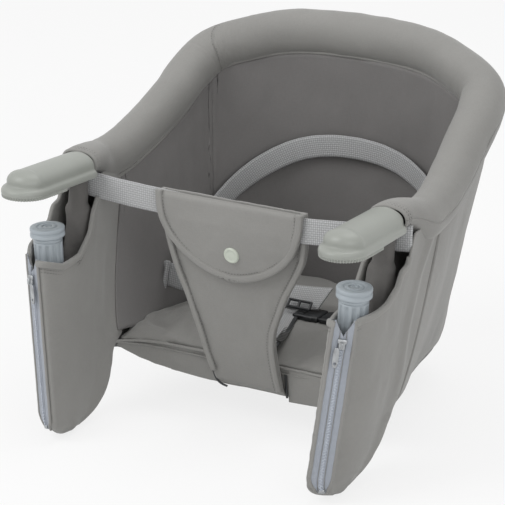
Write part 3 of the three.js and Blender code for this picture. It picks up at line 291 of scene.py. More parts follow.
def moulded(name, colour, rough, grain, speck=0.06, depth=0.00003, coat=0.0):
    """Moulded plastic or rubber with a fine cast grain and handled, slightly polished high places."""
    f = new_finish(name)
    fine = f.noise(f.place(), grain, 2.0, 0.6)
    cloud = f.noise(f.place(), 26.0, 4.0, 0.6)
    polish = f.node("ShaderNodeNewGeometry", output="Pointiness").ramp(0.49, 0.56)
    mix = cloud.ramp(0.3, 0.7) * 0.7 + fine * 0.3
    base = f.mixed(mix, shade(colour, 1 - speck), shade(colour, 1 + speck))
    base = f.mixed(polish * 0.35, base, shade(colour, 1.16))
    roughness = cloud.ramp(0.25, 0.75) * 0.1 + (rough - 0.05) - polish * 0.06
    return f.finish(
        Base_Color=base, Roughness=roughness, Normal=f.bump(fine * depth + cloud * (depth * 3), 0.8),
        Coat_Weight=coat, Coat_Roughness=0.3)


def painted(name, colour):
    """Powder-coated steel with orange peel."""
    f = new_finish(name)
    peel = f.noise(f.place(), 900.0, 1.0)
    cloud = f.noise(f.place(), 45.0, 3.0)
    base = f.mixed(cloud.ramp(0.3, 0.7), shade(colour, 0.88), shade(colour, 1.15))
    rough = cloud.ramp(0.2, 0.8) * 0.1 + 0.38
    return f.finish(Base_Color=base, Roughness=rough, Normal=f.bump(peel * 0.00006))


def plated(name):
    """Zinc-plated steel, a little dull, with rolled streaks."""
    f = new_finish(name)
    streak = f.noise(f.stretched(f.place(), (900.0, 900.0, 60.0)), 1.0, 2.0)
    cloud = f.noise(f.place(), 120.0, 3.0)
    base = f.mixed(cloud.ramp(0.3, 0.7), shade(linear("#9a9c9e"), 1), shade(linear("#bfc2c4"), 1))
    return f.finish(
        Base_Color=base, Metallic=1.0, Roughness=streak.ramp(0.2, 0.8) * 0.18 + 0.28,
        Normal=f.bump(streak * 0.00001))


def thread(name, colour):
    """Twisted sewing thread."""
    f = new_finish(name)
    twist = f.noise(f.place(), 2600.0, 2.0)
    base = f.mixed(twist.ramp(0.3, 0.7), shade(colour, 0.8), shade(colour, 1.1))
    return f.finish(Base_Color=base, Roughness=0.7, Normal=f.bump(twist * 0.00004), Sheen_Weight=0.1)


made_materials = {}


def finish_of(name):
    """The chair's materials, each made once from the panel's sizes and colours."""
    if name in made_materials:
        return made_materials[name]
    sizes, colours = bpy.context.scene.chair_sizes, bpy.context.scene.chair_colours
    makers = {
        "cover_fabric": lambda: woven("cover_fabric", colours.cloth, sizes.weave),
        # Very dark cloth for the hem strip, painting the shadow along the wall's foot.
        "hem_shadow_cloth": lambda: woven("hem_shadow_cloth", tuple(c * 0.55 for c in colours.inside), sizes.weave, 0.1),
        # Darker cloth that paints the shade inside the pouches.
        "pouch_shade_lining": lambda: woven("pouch_shade_lining", colours.inside, sizes.weave, 0.1),
        "lining_fabric": lambda: woven("lining_fabric", colours.lining, sizes.weave, 0.15),
        "webbing": lambda: ribbed("webbing", colours.webbing, sizes.rib),
        "boot_rubber": lambda: moulded("boot_rubber", colours.boot, 0.42, 900.0),
        "clamp_plastic": lambda: moulded("clamp_plastic", colours.clamp, 0.36, 700.0, 0.04),
        "pad_rubber": lambda: moulded("pad_rubber", colours.clamp, 0.5, 600.0, 0.05),
        "black_plastic": lambda: moulded("black_plastic", linear("#26282a"), 0.38, 800.0, 0.08),
        "base_plastic": lambda: moulded("base_plastic", colours.base, 0.55, 400.0, 0.07, 0.00008),
        "snap_plastic": lambda: moulded("snap_plastic", linear("#c3c9bd"), 0.34, 700.0, 0.04),
        "zip_fabric": lambda: ribbed("zip_fabric", colours.zip, 0.9 * MM),
        "zip_coil": lambda: moulded("zip_coil", colours.zip, 0.3, 1500.0, 0.05),
        "frame_paint": lambda: painted("frame_paint", colours.steel),
        "zinc": lambda: plated("zinc"),
        "cover_thread": lambda: thread("cover_thread", tuple(c * 0.62 for c in colours.cloth)),
        "pale_thread": lambda: thread("pale_thread", linear("#9fa3a5")),
        # Near-black webbing that paints the shadow along the crotch strap's edges.
        "webbing_shadow": lambda: ribbed("webbing_shadow", linear("#2d2f31"), sizes.rib),
    }
    made_materials[name] = makers[name]()
    return made_materials[name]


# Lines and shells


class Line:
    """A line through points, smooth or straight, read by share of its length."""

    def __init__(self, points, straight=False):
        self.points = [Vector(p) for p in points] if straight else centripetal(points)
        self.reach = [0.0]
        for a, b in zip(self.points, self.points[1:]):
            self.reach.append(self.reach[-1] + (b - a).length)
        self.length = self.reach[-1]

    def step(self, share):
        goal = min(1, max(0, share)) * self.length
        low, high = 0, len(self.reach) - 1
        while high - low > 1:
            middle = (low + high) // 2
            low, high = (middle, high) if self.reach[middle] <= goal else (low, middle)
        span = self.reach[high] - self.reach[low]
        return low, high, (goal - self.reach[low]) / span if span else 0

    def at(self, share):
        low, high, part = self.step(share)
        return self.points[low].lerp(self.points[high], part)

    def tangent(self, share):
        step = 0.004
        low, high = max(0, share - step), min(1, share + step)
        return (self.at(high) - self.at(low)).normalized()

    def samples(self, count):
        return [self.at(i / (count - 1)) for i in range(count)]


def centripetal(points, count=24):
    """Points of the centripetal spline that the part's source uses."""
    points = [Vector(p) for p in points]
    whole = [points[0] * 2 - points[1], *points, points[-1] * 2 - points[-2]]
    out = []
    for a, b, c, d in zip(whole, whole[1:], whole[2:], whole[3:]):
        first, middle, last = ((q - p).length_squared ** 0.25 for p, q in ((a, b), (b, c), (c, d)))
        middle = middle if middle > 1e-4 else 1.0
        first = first if first > 1e-4 else middle
        last = last if last > 1e-4 else middle
        start = ((b - a) / first - (c - a) / (first + middle) + (c - b) / middle) * middle
        end = ((c - b) / middle - (d - b) / (middle + last) + (d - c) / last) * middle
        for i in range(count):
            t = i / count
            cube, square = t * t * t, t * t
            out.append(
                b * (2 * cube - 3 * square + 1) + start * (cube - 2 * square + t)
                + c * (3 * square - 2 * cube) + end * (cube - square))
    return [*out, points[-1]]


def evenly(count, marks=(), width=0.0, extra=9):
    """Shares from 0 to 1, closer together round each mark."""
    shares = {i / count for i in range(count + 1)}
    for mark in marks:
        shares |= {mark + width * (2 * i / (extra - 1) - 1) for i in range(extra)}
    kept = [0.0]
    for share in sorted(s for s in shares if 0 < s <= 1):
        if share - kept[-1] > 1e-4:
            kept.append(share)
    return kept


def shell(columns, rows, place, size, closed=False, flip=False):
    """A grid whose points go where place(u, v) says, with its UVs in metres."""
    us = columns if isinstance(columns, list) else evenly(columns)
    vs = rows if isinstance(rows, list) else evenly(rows)
    bm = bmesh.new()
    bmesh.ops.create_grid(bm, x_segments=len(us) - 1, y_segments=len(vs) - 1, size=0.5)
    uv = bm.loops.layers.uv.new("UVMap")
    spots = {}
    for vert in bm.verts:
        i = round((vert.co.x + 0.5) * (len(us) - 1))
        j = round((vert.co.y + 0.5) * (len(vs) - 1))
        spots[vert] = (us[i], vs[j])
    for face in bm.faces:
        for loop in face.loops:
            u, v = spots[loop.vert]
            loop[uv].uv = (u * size[0], v * size[1])
    for vert, (u, v) in spots.items():
        vert.co = place(u, v)
    if closed:
        bmesh.ops.remove_doubles(bm, verts=bm.verts, dist=0.02 * MM)
        bmesh.ops.dissolve_degenerate(bm, edges=bm.edges, dist=0.005 * MM)
        bmesh.ops.recalc_face_normals(bm, faces=bm.faces)
    elif flip:
        bmesh.ops.reverse_faces(bm, faces=bm.faces)
    bm.normal_update()
    return bm


def crumple(bm, depth, size, mask=None, stretch=(1, 1, 1), seed=0.0):
    """Moves the points of soft cloth along their normals by smooth noise."""
    bm.normal_update()
    normals = {v: v.normal.copy() for v in bm.verts}
    for vert, normal in normals.items():
        spot = Vector((vert.co.x * stretch[0], vert.co.y * stretch[1], vert.co.z * stretch[2])) / size
        amount = noise.fractal(spot + Vector((seed, seed, seed)), 0.8, 2.1, 3)
        vert.co += normal * depth * amount * (mask(vert.co) if mask else 1)


def face_front(bm):
    """Turns a sheet's faces toward the front of the chair."""
    if sum(f.normal.y for f in bm.faces) > 0:
        bmesh.ops.reverse_faces(bm, faces=bm.faces)


def add_piece(bm, name, finish, body=None, replaces=()):
    """Links a finished mesh as one named piece, which rides on its body."""
    mesh = bpy.data.meshes.new(name)
    bm.to_mesh(mesh)
    bm.free()
    for polygon in mesh.polygons:
        polygon.use_smooth = True
    piece = bpy.data.objects.new(name, mesh)
    bpy.context.scene.collection.objects.link(piece)
    mesh.materials.append(finish_of(finish))
    if body:
        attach(piece, body)
    if replaces:
        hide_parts(*replaces)
    return piece


def thicken(piece, thickness, offset=-1.0):
    """Gives a sheet its thickness, inward at offset -1."""
    made = piece.modifiers.new("Thickness", "SOLIDIFY")
    made.thickness = thickness
    made.offset = offset
    made.use_even_offset = False


def apply_modifiers(piece):
    """Bakes a piece's modifiers into its mesh, before its placement is baked or it is pressed."""
    graph = bpy.context.evaluated_depsgraph_get()
    mesh = bpy.data.meshes.new_from_object(piece.evaluated_get(graph))
    piece.modifiers.clear()
    piece.data = mesh


def frames_along(line, shares, up):
    """Point, tangent, side and top at each share; top stays near up(share)."""
    out = []
    for share in shares:
        point, tangent = line.at(share), line.tangent(share)
        side = tangent.cross(up(share)).normalized()
        out.append((point, tangent, side, side.cross(tangent).normalized()))
    return out


def sweep(line, width, height, up, columns=120, rows=12, power=1.0):
    """A closed bar along a line; power below 1 squares its section."""
    shares = [0.0, *(i / columns for i in range(columns + 1)), 1.0]
    frames = frames_along(line, shares, up)
    count = len(shares) - 1

    def place(u, v):
        step = round(u * count)
        point, _, side, top = frames[step]
        grow = 0.0 if step in (0, count) else 1.0
        angle = 2 * math.pi * v
        c, s = math.cos(angle), math.sin(angle)
        across = math.copysign(abs(c) ** power, c) * width / 2 * grow
        lift = math.copysign(abs(s) ** power, s) * height / 2 * grow
        return point + side * across + top * lift

    return shell(count, rows, place, (line.length, 2 * (width + height)), closed=True)


def spun(profile, steps=48, at=None):
    """A turned shape about Z from (radius, height) pairs in millimetres, then set by a matrix."""
    bm = bmesh.new()
    verts = [bm.verts.new(mm(r, 0, z)) for r, z in profile]
    edges = [bm.edges.new(pair) for pair in zip(verts, verts[1:])]
    bmesh.ops.spin(
        bm, geom=verts + edges, cent=(0, 0, 0), axis=(0, 0, 1), angle=2 * math.pi, steps=steps,
        use_merge=True, use_duplicate=False)
    bmesh.ops.remove_doubles(bm, verts=bm.verts, dist=0.01 * MM)
    if at is not None:
        bmesh.ops.transform(bm, matrix=at, verts=bm.verts)
    bmesh.ops.recalc_face_normals(bm, faces=bm.faces)
    return bm


def join_bm(parts):
    """Several small meshes as one."""
    whole = bmesh.new()
    for part in parts:
        mesh = bpy.data.meshes.new("part")
        part.to_mesh(mesh)
        part.free()
        whole.from_mesh(mesh)
        bpy.data.meshes.remove(mesh)
    return whole


def bar(length, width, height, centre, edge=0.6, turn=None):
    """A bevelled bar in millimetres, centred on a point in metres."""
    bm = bmesh.new()
    bmesh.ops.create_cube(bm, size=1.0)
    bmesh.ops.scale(bm, vec=mm(length, width, height), verts=bm.verts)
    bmesh.ops.bevel(
        bm, geom=bm.edges[:], offset=edge * MM, offset_type="OFFSET", segments=3, profile=0.5,
        affect="EDGES", material=-1, clamp_overlap=True)
    matrix = Matrix.Translation(centre) @ (turn or Matrix.Identity(4))
    bmesh.ops.transform(bm, matrix=matrix, verts=bm.verts)
    return bm


def seam(line, up, pitch, radius=0.42 * MM):
    """A row of stitches along a line."""
    count = max(2, int(line.length / pitch))
    parts = bmesh.new()
    shares = [(i + 0.5) / count for i in range(count)]
    for point, tangent, side, top in frames_along(line, shares, up):
        turn = Matrix((tangent, side, top)).transposed().to_4x4()
        size = Matrix.Diagonal((pitch * 0.36, radius, radius * 0.7, 1))
        matrix = Matrix.Translation(point) @ turn @ size
        bmesh.ops.create_icosphere(parts, subdivisions=1, radius=1.0, matrix=matrix)
    return parts


# Lines of the rim, the walls and the base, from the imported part's own values; sizes in metres

RIM_SHARES = [
    (0.965, 0.03, 0.09), (1.0, 0.146, -0.03), (0.994, 0.29, -0.02), (0.966, 0.467, 0.143),
    (0.937, 0.613, 0.35), (0.92, 0.745, 0.57), (0.866, 0.845, 0.73), (0.684, 0.914, 0.863),
    (0.437, 0.971, 0.967)]
WALL_FOOT_SHARES = [
    (1.195, 0.05, 0.912), (1.09, 0.2, 0.965), (0.955, 0.375, 1.0), (0.875, 0.595, 1.0),
    (0.8, 0.82, 1.0), (0.69, 0.925, 1.0), (0.38, 0.988, 1.0)]
LINING_FOOT_SHARES = [
    (0.985, 0.08, 0.85), (0.985, 0.2, 0.885), (0.92, 0.375, 0.925), (0.845, 0.595, 0.925),
    (0.76, 0.795, 0.925), (0.64, 0.885, 0.925), (0.35, 0.935, 0.925)]
BASE_SHARES = [
    (0.955, 0.0), (0.99, 0.05), (0.965, 0.16), (0.9, 0.36), (0.84, 0.56), (0.79, 0.76),
    (0.69, 0.9), (0.37, 0.983)]
RIM_SIZE = Vector((174, 274, 91)) * MM
FOOT_SIZE = Vector((140, 277, -193)) * MM
BASE_FRONT, BASE_REACH, BASE_HALF = 42 * MM, 277 * MM, 140 * MM
BOLSTER_RADIUS = 21.5 * MM
SEAM_REACH = 72 * MM
ARM_X = 166 * MM
ARM_HEIGHT = 13 * MM
FRAME_TILT = math.radians(2.5)


def both_sides(half, middle):
    mirrored = [Vector((-p.x, p.y, p.z)) for p in half]
    return Line([*mirrored, middle, *reversed(half)])


def scaled(shares, size):
    return [Vector((s[0] * size.x, s[1] * size.y, s[2] * size.z)) for s in shares]


rim = both_sides(scaled(RIM_SHARES, RIM_SIZE), Vector((0, RIM_SIZE.y, RIM_SIZE.z)))
wall_foot = both_sides(scaled(WALL_FOOT_SHARES, FOOT_SIZE), Vector((0, FOOT_SIZE.y, FOOT_SIZE.z)))
lining_foot = both_sides(
    scaled(LINING_FOOT_SHARES, FOOT_SIZE), Vector((0, 0.948 * FOOT_SIZE.y, 0.925 * FOOT_SIZE.z)))


def outward(line, share):
    """The level direction away from the seat."""
    t = line.tangent(share)
    return Vector((-t.y, t.x, 0)).normalized()


def share_at_reach(line, reach):
    low, high = 0.5, 1.0
    for _ in range(40):
        middle = (low + high) / 2
        low, high = (middle, high) if line.at(middle).y > reach else (low, middle)
    return low


wall_edge = share_at_reach(rim, SEAM_REACH)


def inset_line(line, inset, count=33):
    shares = [i / (count - 1) for i in range(count)]
    return Line([line.at(s) - outward(line, s) * inset for s in shares])


def base_line(inset):
    """The base's outline from above, drawn in by an inset."""
    half = [
        Vector((x * BASE_HALF - inset, lerp(BASE_FRONT + inset, BASE_REACH - inset, y), 0))
        for x, y in BASE_SHARES]
    return both_sides(half, Vector((0, BASE_REACH - inset, 0)))


def wall_point(foot, spread, drop, share, up, bulge=5 * MM):
    """A point of a wall between its foot line and the underside of the rim."""
    at = lerp(1 - wall_edge, wall_edge, share)
    out = outward(rim, at)
    slope = rim.tangent(at).z
    top = rim.at(at) + out * spread
    top.z -= drop / math.sqrt(1 - slope * slope)
    return foot.at(share).lerp(top, up) + out * bulge * math.sin(math.pi * up**0.6)


def lean(side):
    """The leaning side frame's own axes."""
    return Matrix.Translation((side * ARM_X, 0, ARM_HEIGHT)) @ Matrix.Rotation(side * FRAME_TILT, 4, "Y")


# Padded rim

PAD_START = 2 * MM
PAD_FRONT = Vector((ARM_X, 1.2 * MM, 10.8 * MM))
pad_line = Line([Vector((-PAD_FRONT.x, PAD_FRONT.y, PAD_FRONT.z)), *rim.points, PAD_FRONT], straight=True)
PIPING_IN, PIPING_DOWN, PIPING_START = 13 * MM, 17.6 * MM, 24 * MM
HEM_ROWS = (4.8 * MM, 8.6 * MM)


def rim_radius(reach):
    return lerp(20.6, 22.6, smooth(0.09, 0.24, reach)) * MM


def rim_section(share, angle):
    """A point of the padded rim: angle 0 is outward, a quarter turn up."""
    point, tangent, out = pad_line.at(share), pad_line.tangent(share), outward(pad_line, share)
    top = out.cross(tangent).normalized()
    if top.z < 0:
        top = -top
    c, s = math.cos(angle), math.sin(angle)
    flat = 1 - 0.035 * math.cos(2 * angle - 0.7)
    round_point = point + (out * c + top * s) * rim_radius(point.y) * flat
    boxed = 1 - smooth(6 * MM, 54 * MM, point.y)
    if not boxed:
        return round_point
    sign = math.copysign(1, point.x)
    across = sign * 20.0 * math.copysign(abs(c) ** 0.88, c)
    front_point = mm(sign * ARM_X / MM + across, point.y / MM, 10.8 + 12 * math.copysign(abs(s) ** 0.88, s))
    return round_point.lerp(front_point, boxed)


def rim_seam(angle):
    """The share at which the rim's cross seam lies, a little slanted round the rim."""
    return 0.3145 + 0.022 * math.cos(angle - 0.35)


def make_rim(context):
    sizes = context.scene.chair_sizes
    start = share_at_reach(pad_line, PAD_START)
    low, high = 1 - start, start
    seam_at = (0.308 - low) / (high - low)
    length = pad_line.length * (high - low)
    hems = [0.0, 0.0015, 0.003, 0.0045, 0.006, 0.0075, 0.009, 0.0105]
    shares = evenly(230, [seam_at], 0.034, 61) + hems + [1 - h for h in hems]
    shares = sorted(set(round(s, 6) for s in shares))

    def place(u, v):
        angle = 2 * math.pi * v
        at = lerp(low, high, u)
        centre = pad_line.at(at)
        point = rim_section(at, angle)
        from_end = min(u, 1 - u) * length
        turn_in = 1 - smooth(0, 2.2 * MM, from_end)
        rows = sum(math.exp(-(((from_end - row) / (0.6 * MM)) ** 2)) for row in HEM_ROWS)
        from_seam = (at - rim_seam(angle)) * pad_line.length
        beside = math.exp(-((from_seam / (9 * MM)) ** 2))
        crease = math.exp(-((from_seam / (1.3 * MM)) ** 2))
        shrink = 2.2 * MM * turn_in + 0.6 * MM * rows + 1.5 * MM * crease
        inner = 0.5 - 0.5 * math.cos(angle)
        bend = smooth(0.2, 0.3, at) * (1 - smooth(0.38, 0.44, at))
        bend += smooth(0.56, 0.62, at) * (1 - smooth(0.7, 0.8, at))
        gather = noise.noise(Vector((at * 260, v * 3, 0))) * bend * inner * 0.5 * MM
        soft = noise.fractal(Vector((at * 28, v * 4, 3.1)), 0.9, 2.0, 3) * 0.6 * MM
        pucker = noise.noise(Vector((v * 34, 7.7, at * 30))) * beside * 0.5 * MM
        out = (point - centre).normalized()
        return point + out * (gather + soft + pucker - shrink)

    bm = shell(shares, 56, place, (length, 2 * math.pi * BOLSTER_RADIUS), closed=True)
    rim_piece = add_piece(bm, "padded_rim", "cover_fabric")
    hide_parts("rim_bolster", "hinge_cuff_left", "hinge_cuff_right")
    thicken(rim_piece, 1.6 * MM)
    apply_modifiers(rim_piece)
    blend_rim(rim_piece)

    # Piping sewn in where the lining meets the rim
    front = share_at_reach(rim, PIPING_START)
    points = []
    for i in range(181):
        at = lerp(1 - front, front, i / 180)
        points.append(rim.at(at) - outward(rim, at) * PIPING_IN - Vector((0, 0, PIPING_DOWN)))
    line = Line(points, straight=True)
    piping = sweep(line, 2 * sizes.piping, 2 * sizes.piping, lambda s: Vector((0, 0, 1)), 280, 10)
    piece = add_piece(piping, "lining_piping", "cover_fabric")
    blend_rim(piece)

    # Stitches along the cross seam and round both hems
    rings = [lambda a, off=off: rim_seam(a) + off * MM / pad_line.length for off in (-2.6, 2.6)]
    for row in HEM_ROWS:
        rings += [lambda a, at=at: at for at in (low + row / pad_line.length, high - row / pad_line.length)]
    rows = []
    for at in rings:
        centre = pad_line.at(at(math.pi))
        around = []
        for i in range(61):
            angle = 2 * math.pi * i / 60
            middle = pad_line.at(at(angle))
            around.append(middle + (rim_section(at(angle), angle) - middle) * 0.985)
        ring = Line(around, straight=True)
        rows.append(seam(ring, lambda s, c=centre, r=ring: r.at(s) - c, sizes.stitch))
    piece = add_piece(join_bm(rows), "rim_stitching", "cover_thread")
    blend_rim(piece)


def blend_rim(piece):
    """Bakes the placement of a rim piece into its mesh."""
    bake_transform(piece)


# Walls of the seat

LINING_SEAMS = [0.0, 0.245, 0.755, 1.0]
HEM_HEIGHT = 9 * MM
WALL_SPREAD, WALL_DROP = 9 * MM, 16.5 * MM
LINING_SPREAD, LINING_DROP = -11 * MM, 18 * MM


def blend_wall(piece):
    """Bakes the placement of a wall piece into its mesh."""
    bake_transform(piece)


def make_walls(context):
    sizes = context.scene.chair_sizes
    crease = sizes.crease

    def cover(u, v):
        point = wall_point(wall_foot, WALL_SPREAD, WALL_DROP, u, v)
        out = outward(rim, lerp(1 - wall_edge, wall_edge, u))
        hem = 1 - smooth(0, 0.05, v)
        return point - out * hem * 1.6 * MM

    bm = shell(200, evenly(56, [0.02], 0.02), cover, (wall_foot.length, 190 * MM))
    inside_edge = lambda co: smooth(20 * MM, 60 * MM, co.y + 0.3 * co.z)
    keep = lambda co: inside_edge(co) * smooth(-0.195, -0.17, co.z)
    crumple(bm, 1.5 * crease, 0.09, keep, (1, 1, 0.45))
    crumple(bm, 0.35 * crease, 0.02, keep, (1, 1, 0.6), 5.0)
    piece = add_piece(bm, "wall_outside", "cover_fabric", replaces=["wall_cover"])
    thicken(piece, 2.4 * MM)
    apply_modifiers(piece)
    blend_wall(piece)

    # Hem strip along the wall's foot, in very dark cloth that paints the shadow there
    def hem(u, v):
        share = lerp(0.035, 0.965, u)
        high = HEM_HEIGHT * smooth(0, 0.05, min(u, 1 - u)) + 0.5 * MM
        point = wall_point(wall_foot, WALL_SPREAD, WALL_DROP, share, 0)
        out = outward(rim, lerp(1 - wall_edge, wall_edge, share))
        return point + out * (0.4 + 0.5 * math.sin(math.pi * v)) * MM + Vector((0, 0, high * v - 0.6 * MM))

    bm = shell(260, 8, hem, (wall_foot.length, HEM_HEIGHT))
    if sum(f.normal.y for f in bm.faces if f.calc_center_median().y > 0.26) < 0:
        bmesh.ops.reverse_faces(bm, faces=bm.faces)
    piece = add_piece(bm, "wall_hem_shadow", "hem_shadow_cloth")
    thicken(piece, 1.6 * MM)
    apply_modifiers(piece)
    blend_wall(piece)

    for i, word in enumerate(("left", "back", "right")):
        low, high = LINING_SEAMS[i], LINING_SEAMS[i + 1]
        span = lining_foot.length * (high - low)

        def inside(u, v, low=low, high=high, span=span, i=i):
            share = lerp(low, high, u)
            point = wall_point(lining_foot, LINING_SPREAD, LINING_DROP, share, v)
            out = outward(rim, lerp(1 - wall_edge, wall_edge, share))
            near = min(u if i > 0 else 1, (1 - u) if i < 2 else 1) * span
            roll = math.exp(-((near / (2.0 * MM)) ** 2)) * 1.8 * MM
            edge = smooth(0, 24 * MM, min(share, 1 - share) * lining_foot.length)
            puff = smooth(0, 30 * MM, near) * 1.2 * MM * math.sin(math.pi * v) * edge
            beside = math.exp(-((near / (10 * MM)) ** 2))
            pucker = noise.noise(Vector((v * 42, i * 5.0, 0))) * beside * 0.7 * MM
            return point + out * (roll + pucker - puff)

        columns = evenly(80, [0.0, 1.0], 8 * MM / span, 17)
        bm = shell(columns, 48, inside, (span, 170 * MM), flip=True)
        hold = lambda co: smooth(-0.178, -0.15, co.z) * inside_edge(co)
        crumple(bm, 1.7 * crease, 0.07, hold, (1, 1, 0.5), 2.0 + i)
        crumple(bm, 0.4 * crease, 0.016, hold, (1, 1, 0.7), 9.0 + i)
        panel = add_piece(bm, f"lining_panel_{word}", "lining_fabric", replaces=[f"lining_{word}"])
        thicken(panel, 3 * MM)
        apply_modifiers(panel)
        blend_wall(panel)


# Clamp pouches, worked out in millimetres on the right side

POUCH_KEEL = 240
ZIP_LINE = [(depth, Vector((x, y))) for depth, x, y in (
    (2, 173, -75), (80, 164.5, -80.5), (214, 149.4, -90.2), (222, 148.8, -89.6), (229, 148.2, -86.3),
    (234, 147.6, -81), (238, 147.0, -73), (240, 146.5, -63))]
POUCH_INNER = [(2, 146.2), (75, 142.9), (140, 138.9), (200, 133.5), (240, 131)]
POUCH_OUTER = [(2, 187.5), (75, 184), (140, 179), (200, 170), (240, 161.5)]
INNER_REAR = [(170, 19), (176, 17), (190, 12), (205, 3), (220, -10), (231, -25), (237, -40), (240, -57)]
OUTER_REAR = [(170, 14), (176, 10), (190, 2), (205, -4), (220, -18), (231, -35), (237, -46), (240, -57)]
MOUTH_INNER = [
    (-90, 60), (-80, 63), (-62, 69.5), (-36, 66.5), (-13, 50.6), (-4, 33), (3, 26), (8, 22), (14, 4)]
MOUTH_OUTER = [
    (-90, 62), (-79, 63), (-69, 60.6), (-36, 54), (-17, 44), (-10, 32), (2, 28.5), (6, 20), (14, 4)]
NOTCH_DEPTH, NOTCH_HALF = 13, 8
NOSE_TURN = math.radians(28)
ZIP_ACROSS = Vector((math.cos(NOSE_TURN), math.sin(NOSE_TURN)))
ZIP_AHEAD = Vector((math.sin(NOSE_TURN), -math.cos(NOSE_TURN)))
TAPE_HALF = 9.5
KEEL_RADIUS = 26
POUCH_COLUMNS = 190
WALL_LAP = 0.02


def wall_front(depth, inner, share=1.0):
    """A point of a wall's front edge, or a little behind it, on the right side, in millimetres."""
    if inner:
        foot, spread, drop = lining_foot, LINING_SPREAD, LINING_DROP
    else:
        foot, spread, drop = wall_foot, WALL_SPREAD, WALL_DROP
    low, high = wall_point(foot, spread, drop, share, 0), wall_point(foot, spread, drop, share, 1)
    up = (-depth * MM - low.z) / (high.z - low.z)
    point = wall_point(foot, spread, drop, share, min(1, max(0, up))) / MM
    if up < 0:
        point += Vector((-0.06, -0.38, 0)) * (depth + low.z / MM)
    return Vector((point.x, point.y))


def pouch_ring(depth, count):
    """Points from the inner seam, round the nose, to the outer seam, in millimetres."""
    tip = table(ZIP_LINE, depth)
    keel = max(0.0, (depth - (POUCH_KEEL - KEEL_RADIUS)) / KEEL_RADIUS)
    close = math.sqrt(max(0.0, 1 - keel * keel))
    squeeze = 0.1 + 0.9 * close**0.6
    middle = (table(POUCH_INNER, depth) + table(POUCH_OUTER, depth)) / 2
    inner = lerp(middle, table(POUCH_INNER, depth), squeeze)
    outer = lerp(middle, table(POUCH_OUTER, depth), squeeze)
    shut = smooth(171, 184, depth)
    closing = Vector((middle, (table(INNER_REAR, depth) + table(OUTER_REAR, depth)) / 2 + 2 * squeeze))
    ends = []
    for side, is_inner, rear_table, skin_x in ((-1, True, INNER_REAR, inner), (1, False, OUTER_REAR, outer)):
        rear = table(rear_table, depth)
        seam_at = wall_front(depth, is_inner) + Vector((side * 1.0, 0))
        buried = wall_front(depth, is_inner, 1 - WALL_LAP) - Vector((side * 1.6, 0))
        corner = Vector((skin_x - side * 1.5 * squeeze, rear - 4 * squeeze))
        ends.append((buried.lerp(closing, shut), seam_at.lerp(corner, shut), skin_x))
    width = TAPE_HALF * min(1, 0.12 + 0.98 * close)

    def along(end, share):
        return lerp(tip.y, end.y, share)

    (back_in, end_in, skin_in), (back_out, end_out, skin_out) = ends
    points = [
        back_in, end_in, Vector((lerp(skin_in, end_in.x, 0.35), along(end_in, 0.68))),
        Vector((skin_in - 1.2 * close, along(end_in, 0.38))),
        Vector((skin_in + 0.8 * close, tip.y + min(17, (end_in.y - tip.y) * 0.3))),
        tip - ZIP_ACROSS * (width + 3.6 * close) - ZIP_AHEAD * (0.4 + 3 * close),
        tip - ZIP_ACROSS * width - ZIP_AHEAD * 0.3, tip, tip + ZIP_ACROSS * width - ZIP_AHEAD * 0.3,
        tip + ZIP_ACROSS * (width + 3.4 * close) - ZIP_AHEAD * (0.4 + 3.2 * close),
        Vector((skin_out - 0.4 * close, tip.y + min(26, (end_out.y - tip.y) * 0.42))),
        Vector((skin_out + 1.2 * close, along(end_out, 0.52))),
        Vector((lerp(skin_out, end_out.x, 0.35), along(end_out, 0.75))), end_out, back_out]
    return Line([Vector((p.x, p.y, -depth)) for p in points]).samples(count)


def mouth_depth(point):
    """Depth of the pouch's mouth over a point of its ring, in millimetres."""
    tip = table(ZIP_LINE, -point.z)
    flat = Vector((point.x, point.y))
    depth = table(MOUTH_INNER if flat.x < tip.x else MOUTH_OUTER, point.y)
    if point.y < -60:
        depth += NOTCH_DEPTH * max(0, 1 - abs((flat - tip).dot(ZIP_ACROSS)) / NOTCH_HALF)
    return depth


class PouchSkin:
    """The right pouch's surface: a share round the ring and a share from mouth to keel."""

    def __init__(self):
        self.depths = [2 + 2.4 * i for i in range(98)]
        self.depths = [d for d in self.depths if d < 236] + [236.5, 237.8, 238.8, 239.5, 240.0]
        self.rings = [pouch_ring(d, POUCH_COLUMNS + 1) for d in self.depths]
        self.mouth = []
        for i in range(POUCH_COLUMNS + 1):
            depth = 50.0
            for _ in range(16):
                depth = lerp(depth, mouth_depth(self.at_depth(i / POUCH_COLUMNS, depth)), 0.5)
            self.mouth.append(depth)

    def at_depth(self, u, depth):
        column = u * POUCH_COLUMNS
        left = min(int(column), POUCH_COLUMNS - 1)
        depth = min(max(depth, self.depths[0]), self.depths[-1])
        row = min(int((depth - 2) / 2.4), len(self.depths) - 2)
        while self.depths[row + 1] < depth:
            row += 1
        down = (depth - self.depths[row]) / (self.depths[row + 1] - self.depths[row])
        ends = [self.rings[r][left].lerp(self.rings[r][left + 1], column - left) for r in (row, row + 1)]
        return ends[0].lerp(ends[1], down)

    def mouth_at(self, u):
        column = u * POUCH_COLUMNS
        left = min(int(column), POUCH_COLUMNS - 1)
        return lerp(self.mouth[left], self.mouth[left + 1], column - left)

    def place(self, u, v):
        return self.at_depth(u, lerp(self.mouth_at(u), POUCH_KEEL, v)) * MM


def blend_pouch(piece):
    """Bakes the placement of a pouch piece into its mesh."""
    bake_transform(piece)


def ridge_reach(depth):
    """Where the strut inside lifts the pouch's outer side into a soft ridge, in millimetres."""
    return table([(0, 66), (15, 57), (50, 30), (100, 10), (150, 6), (176, 4)], depth)


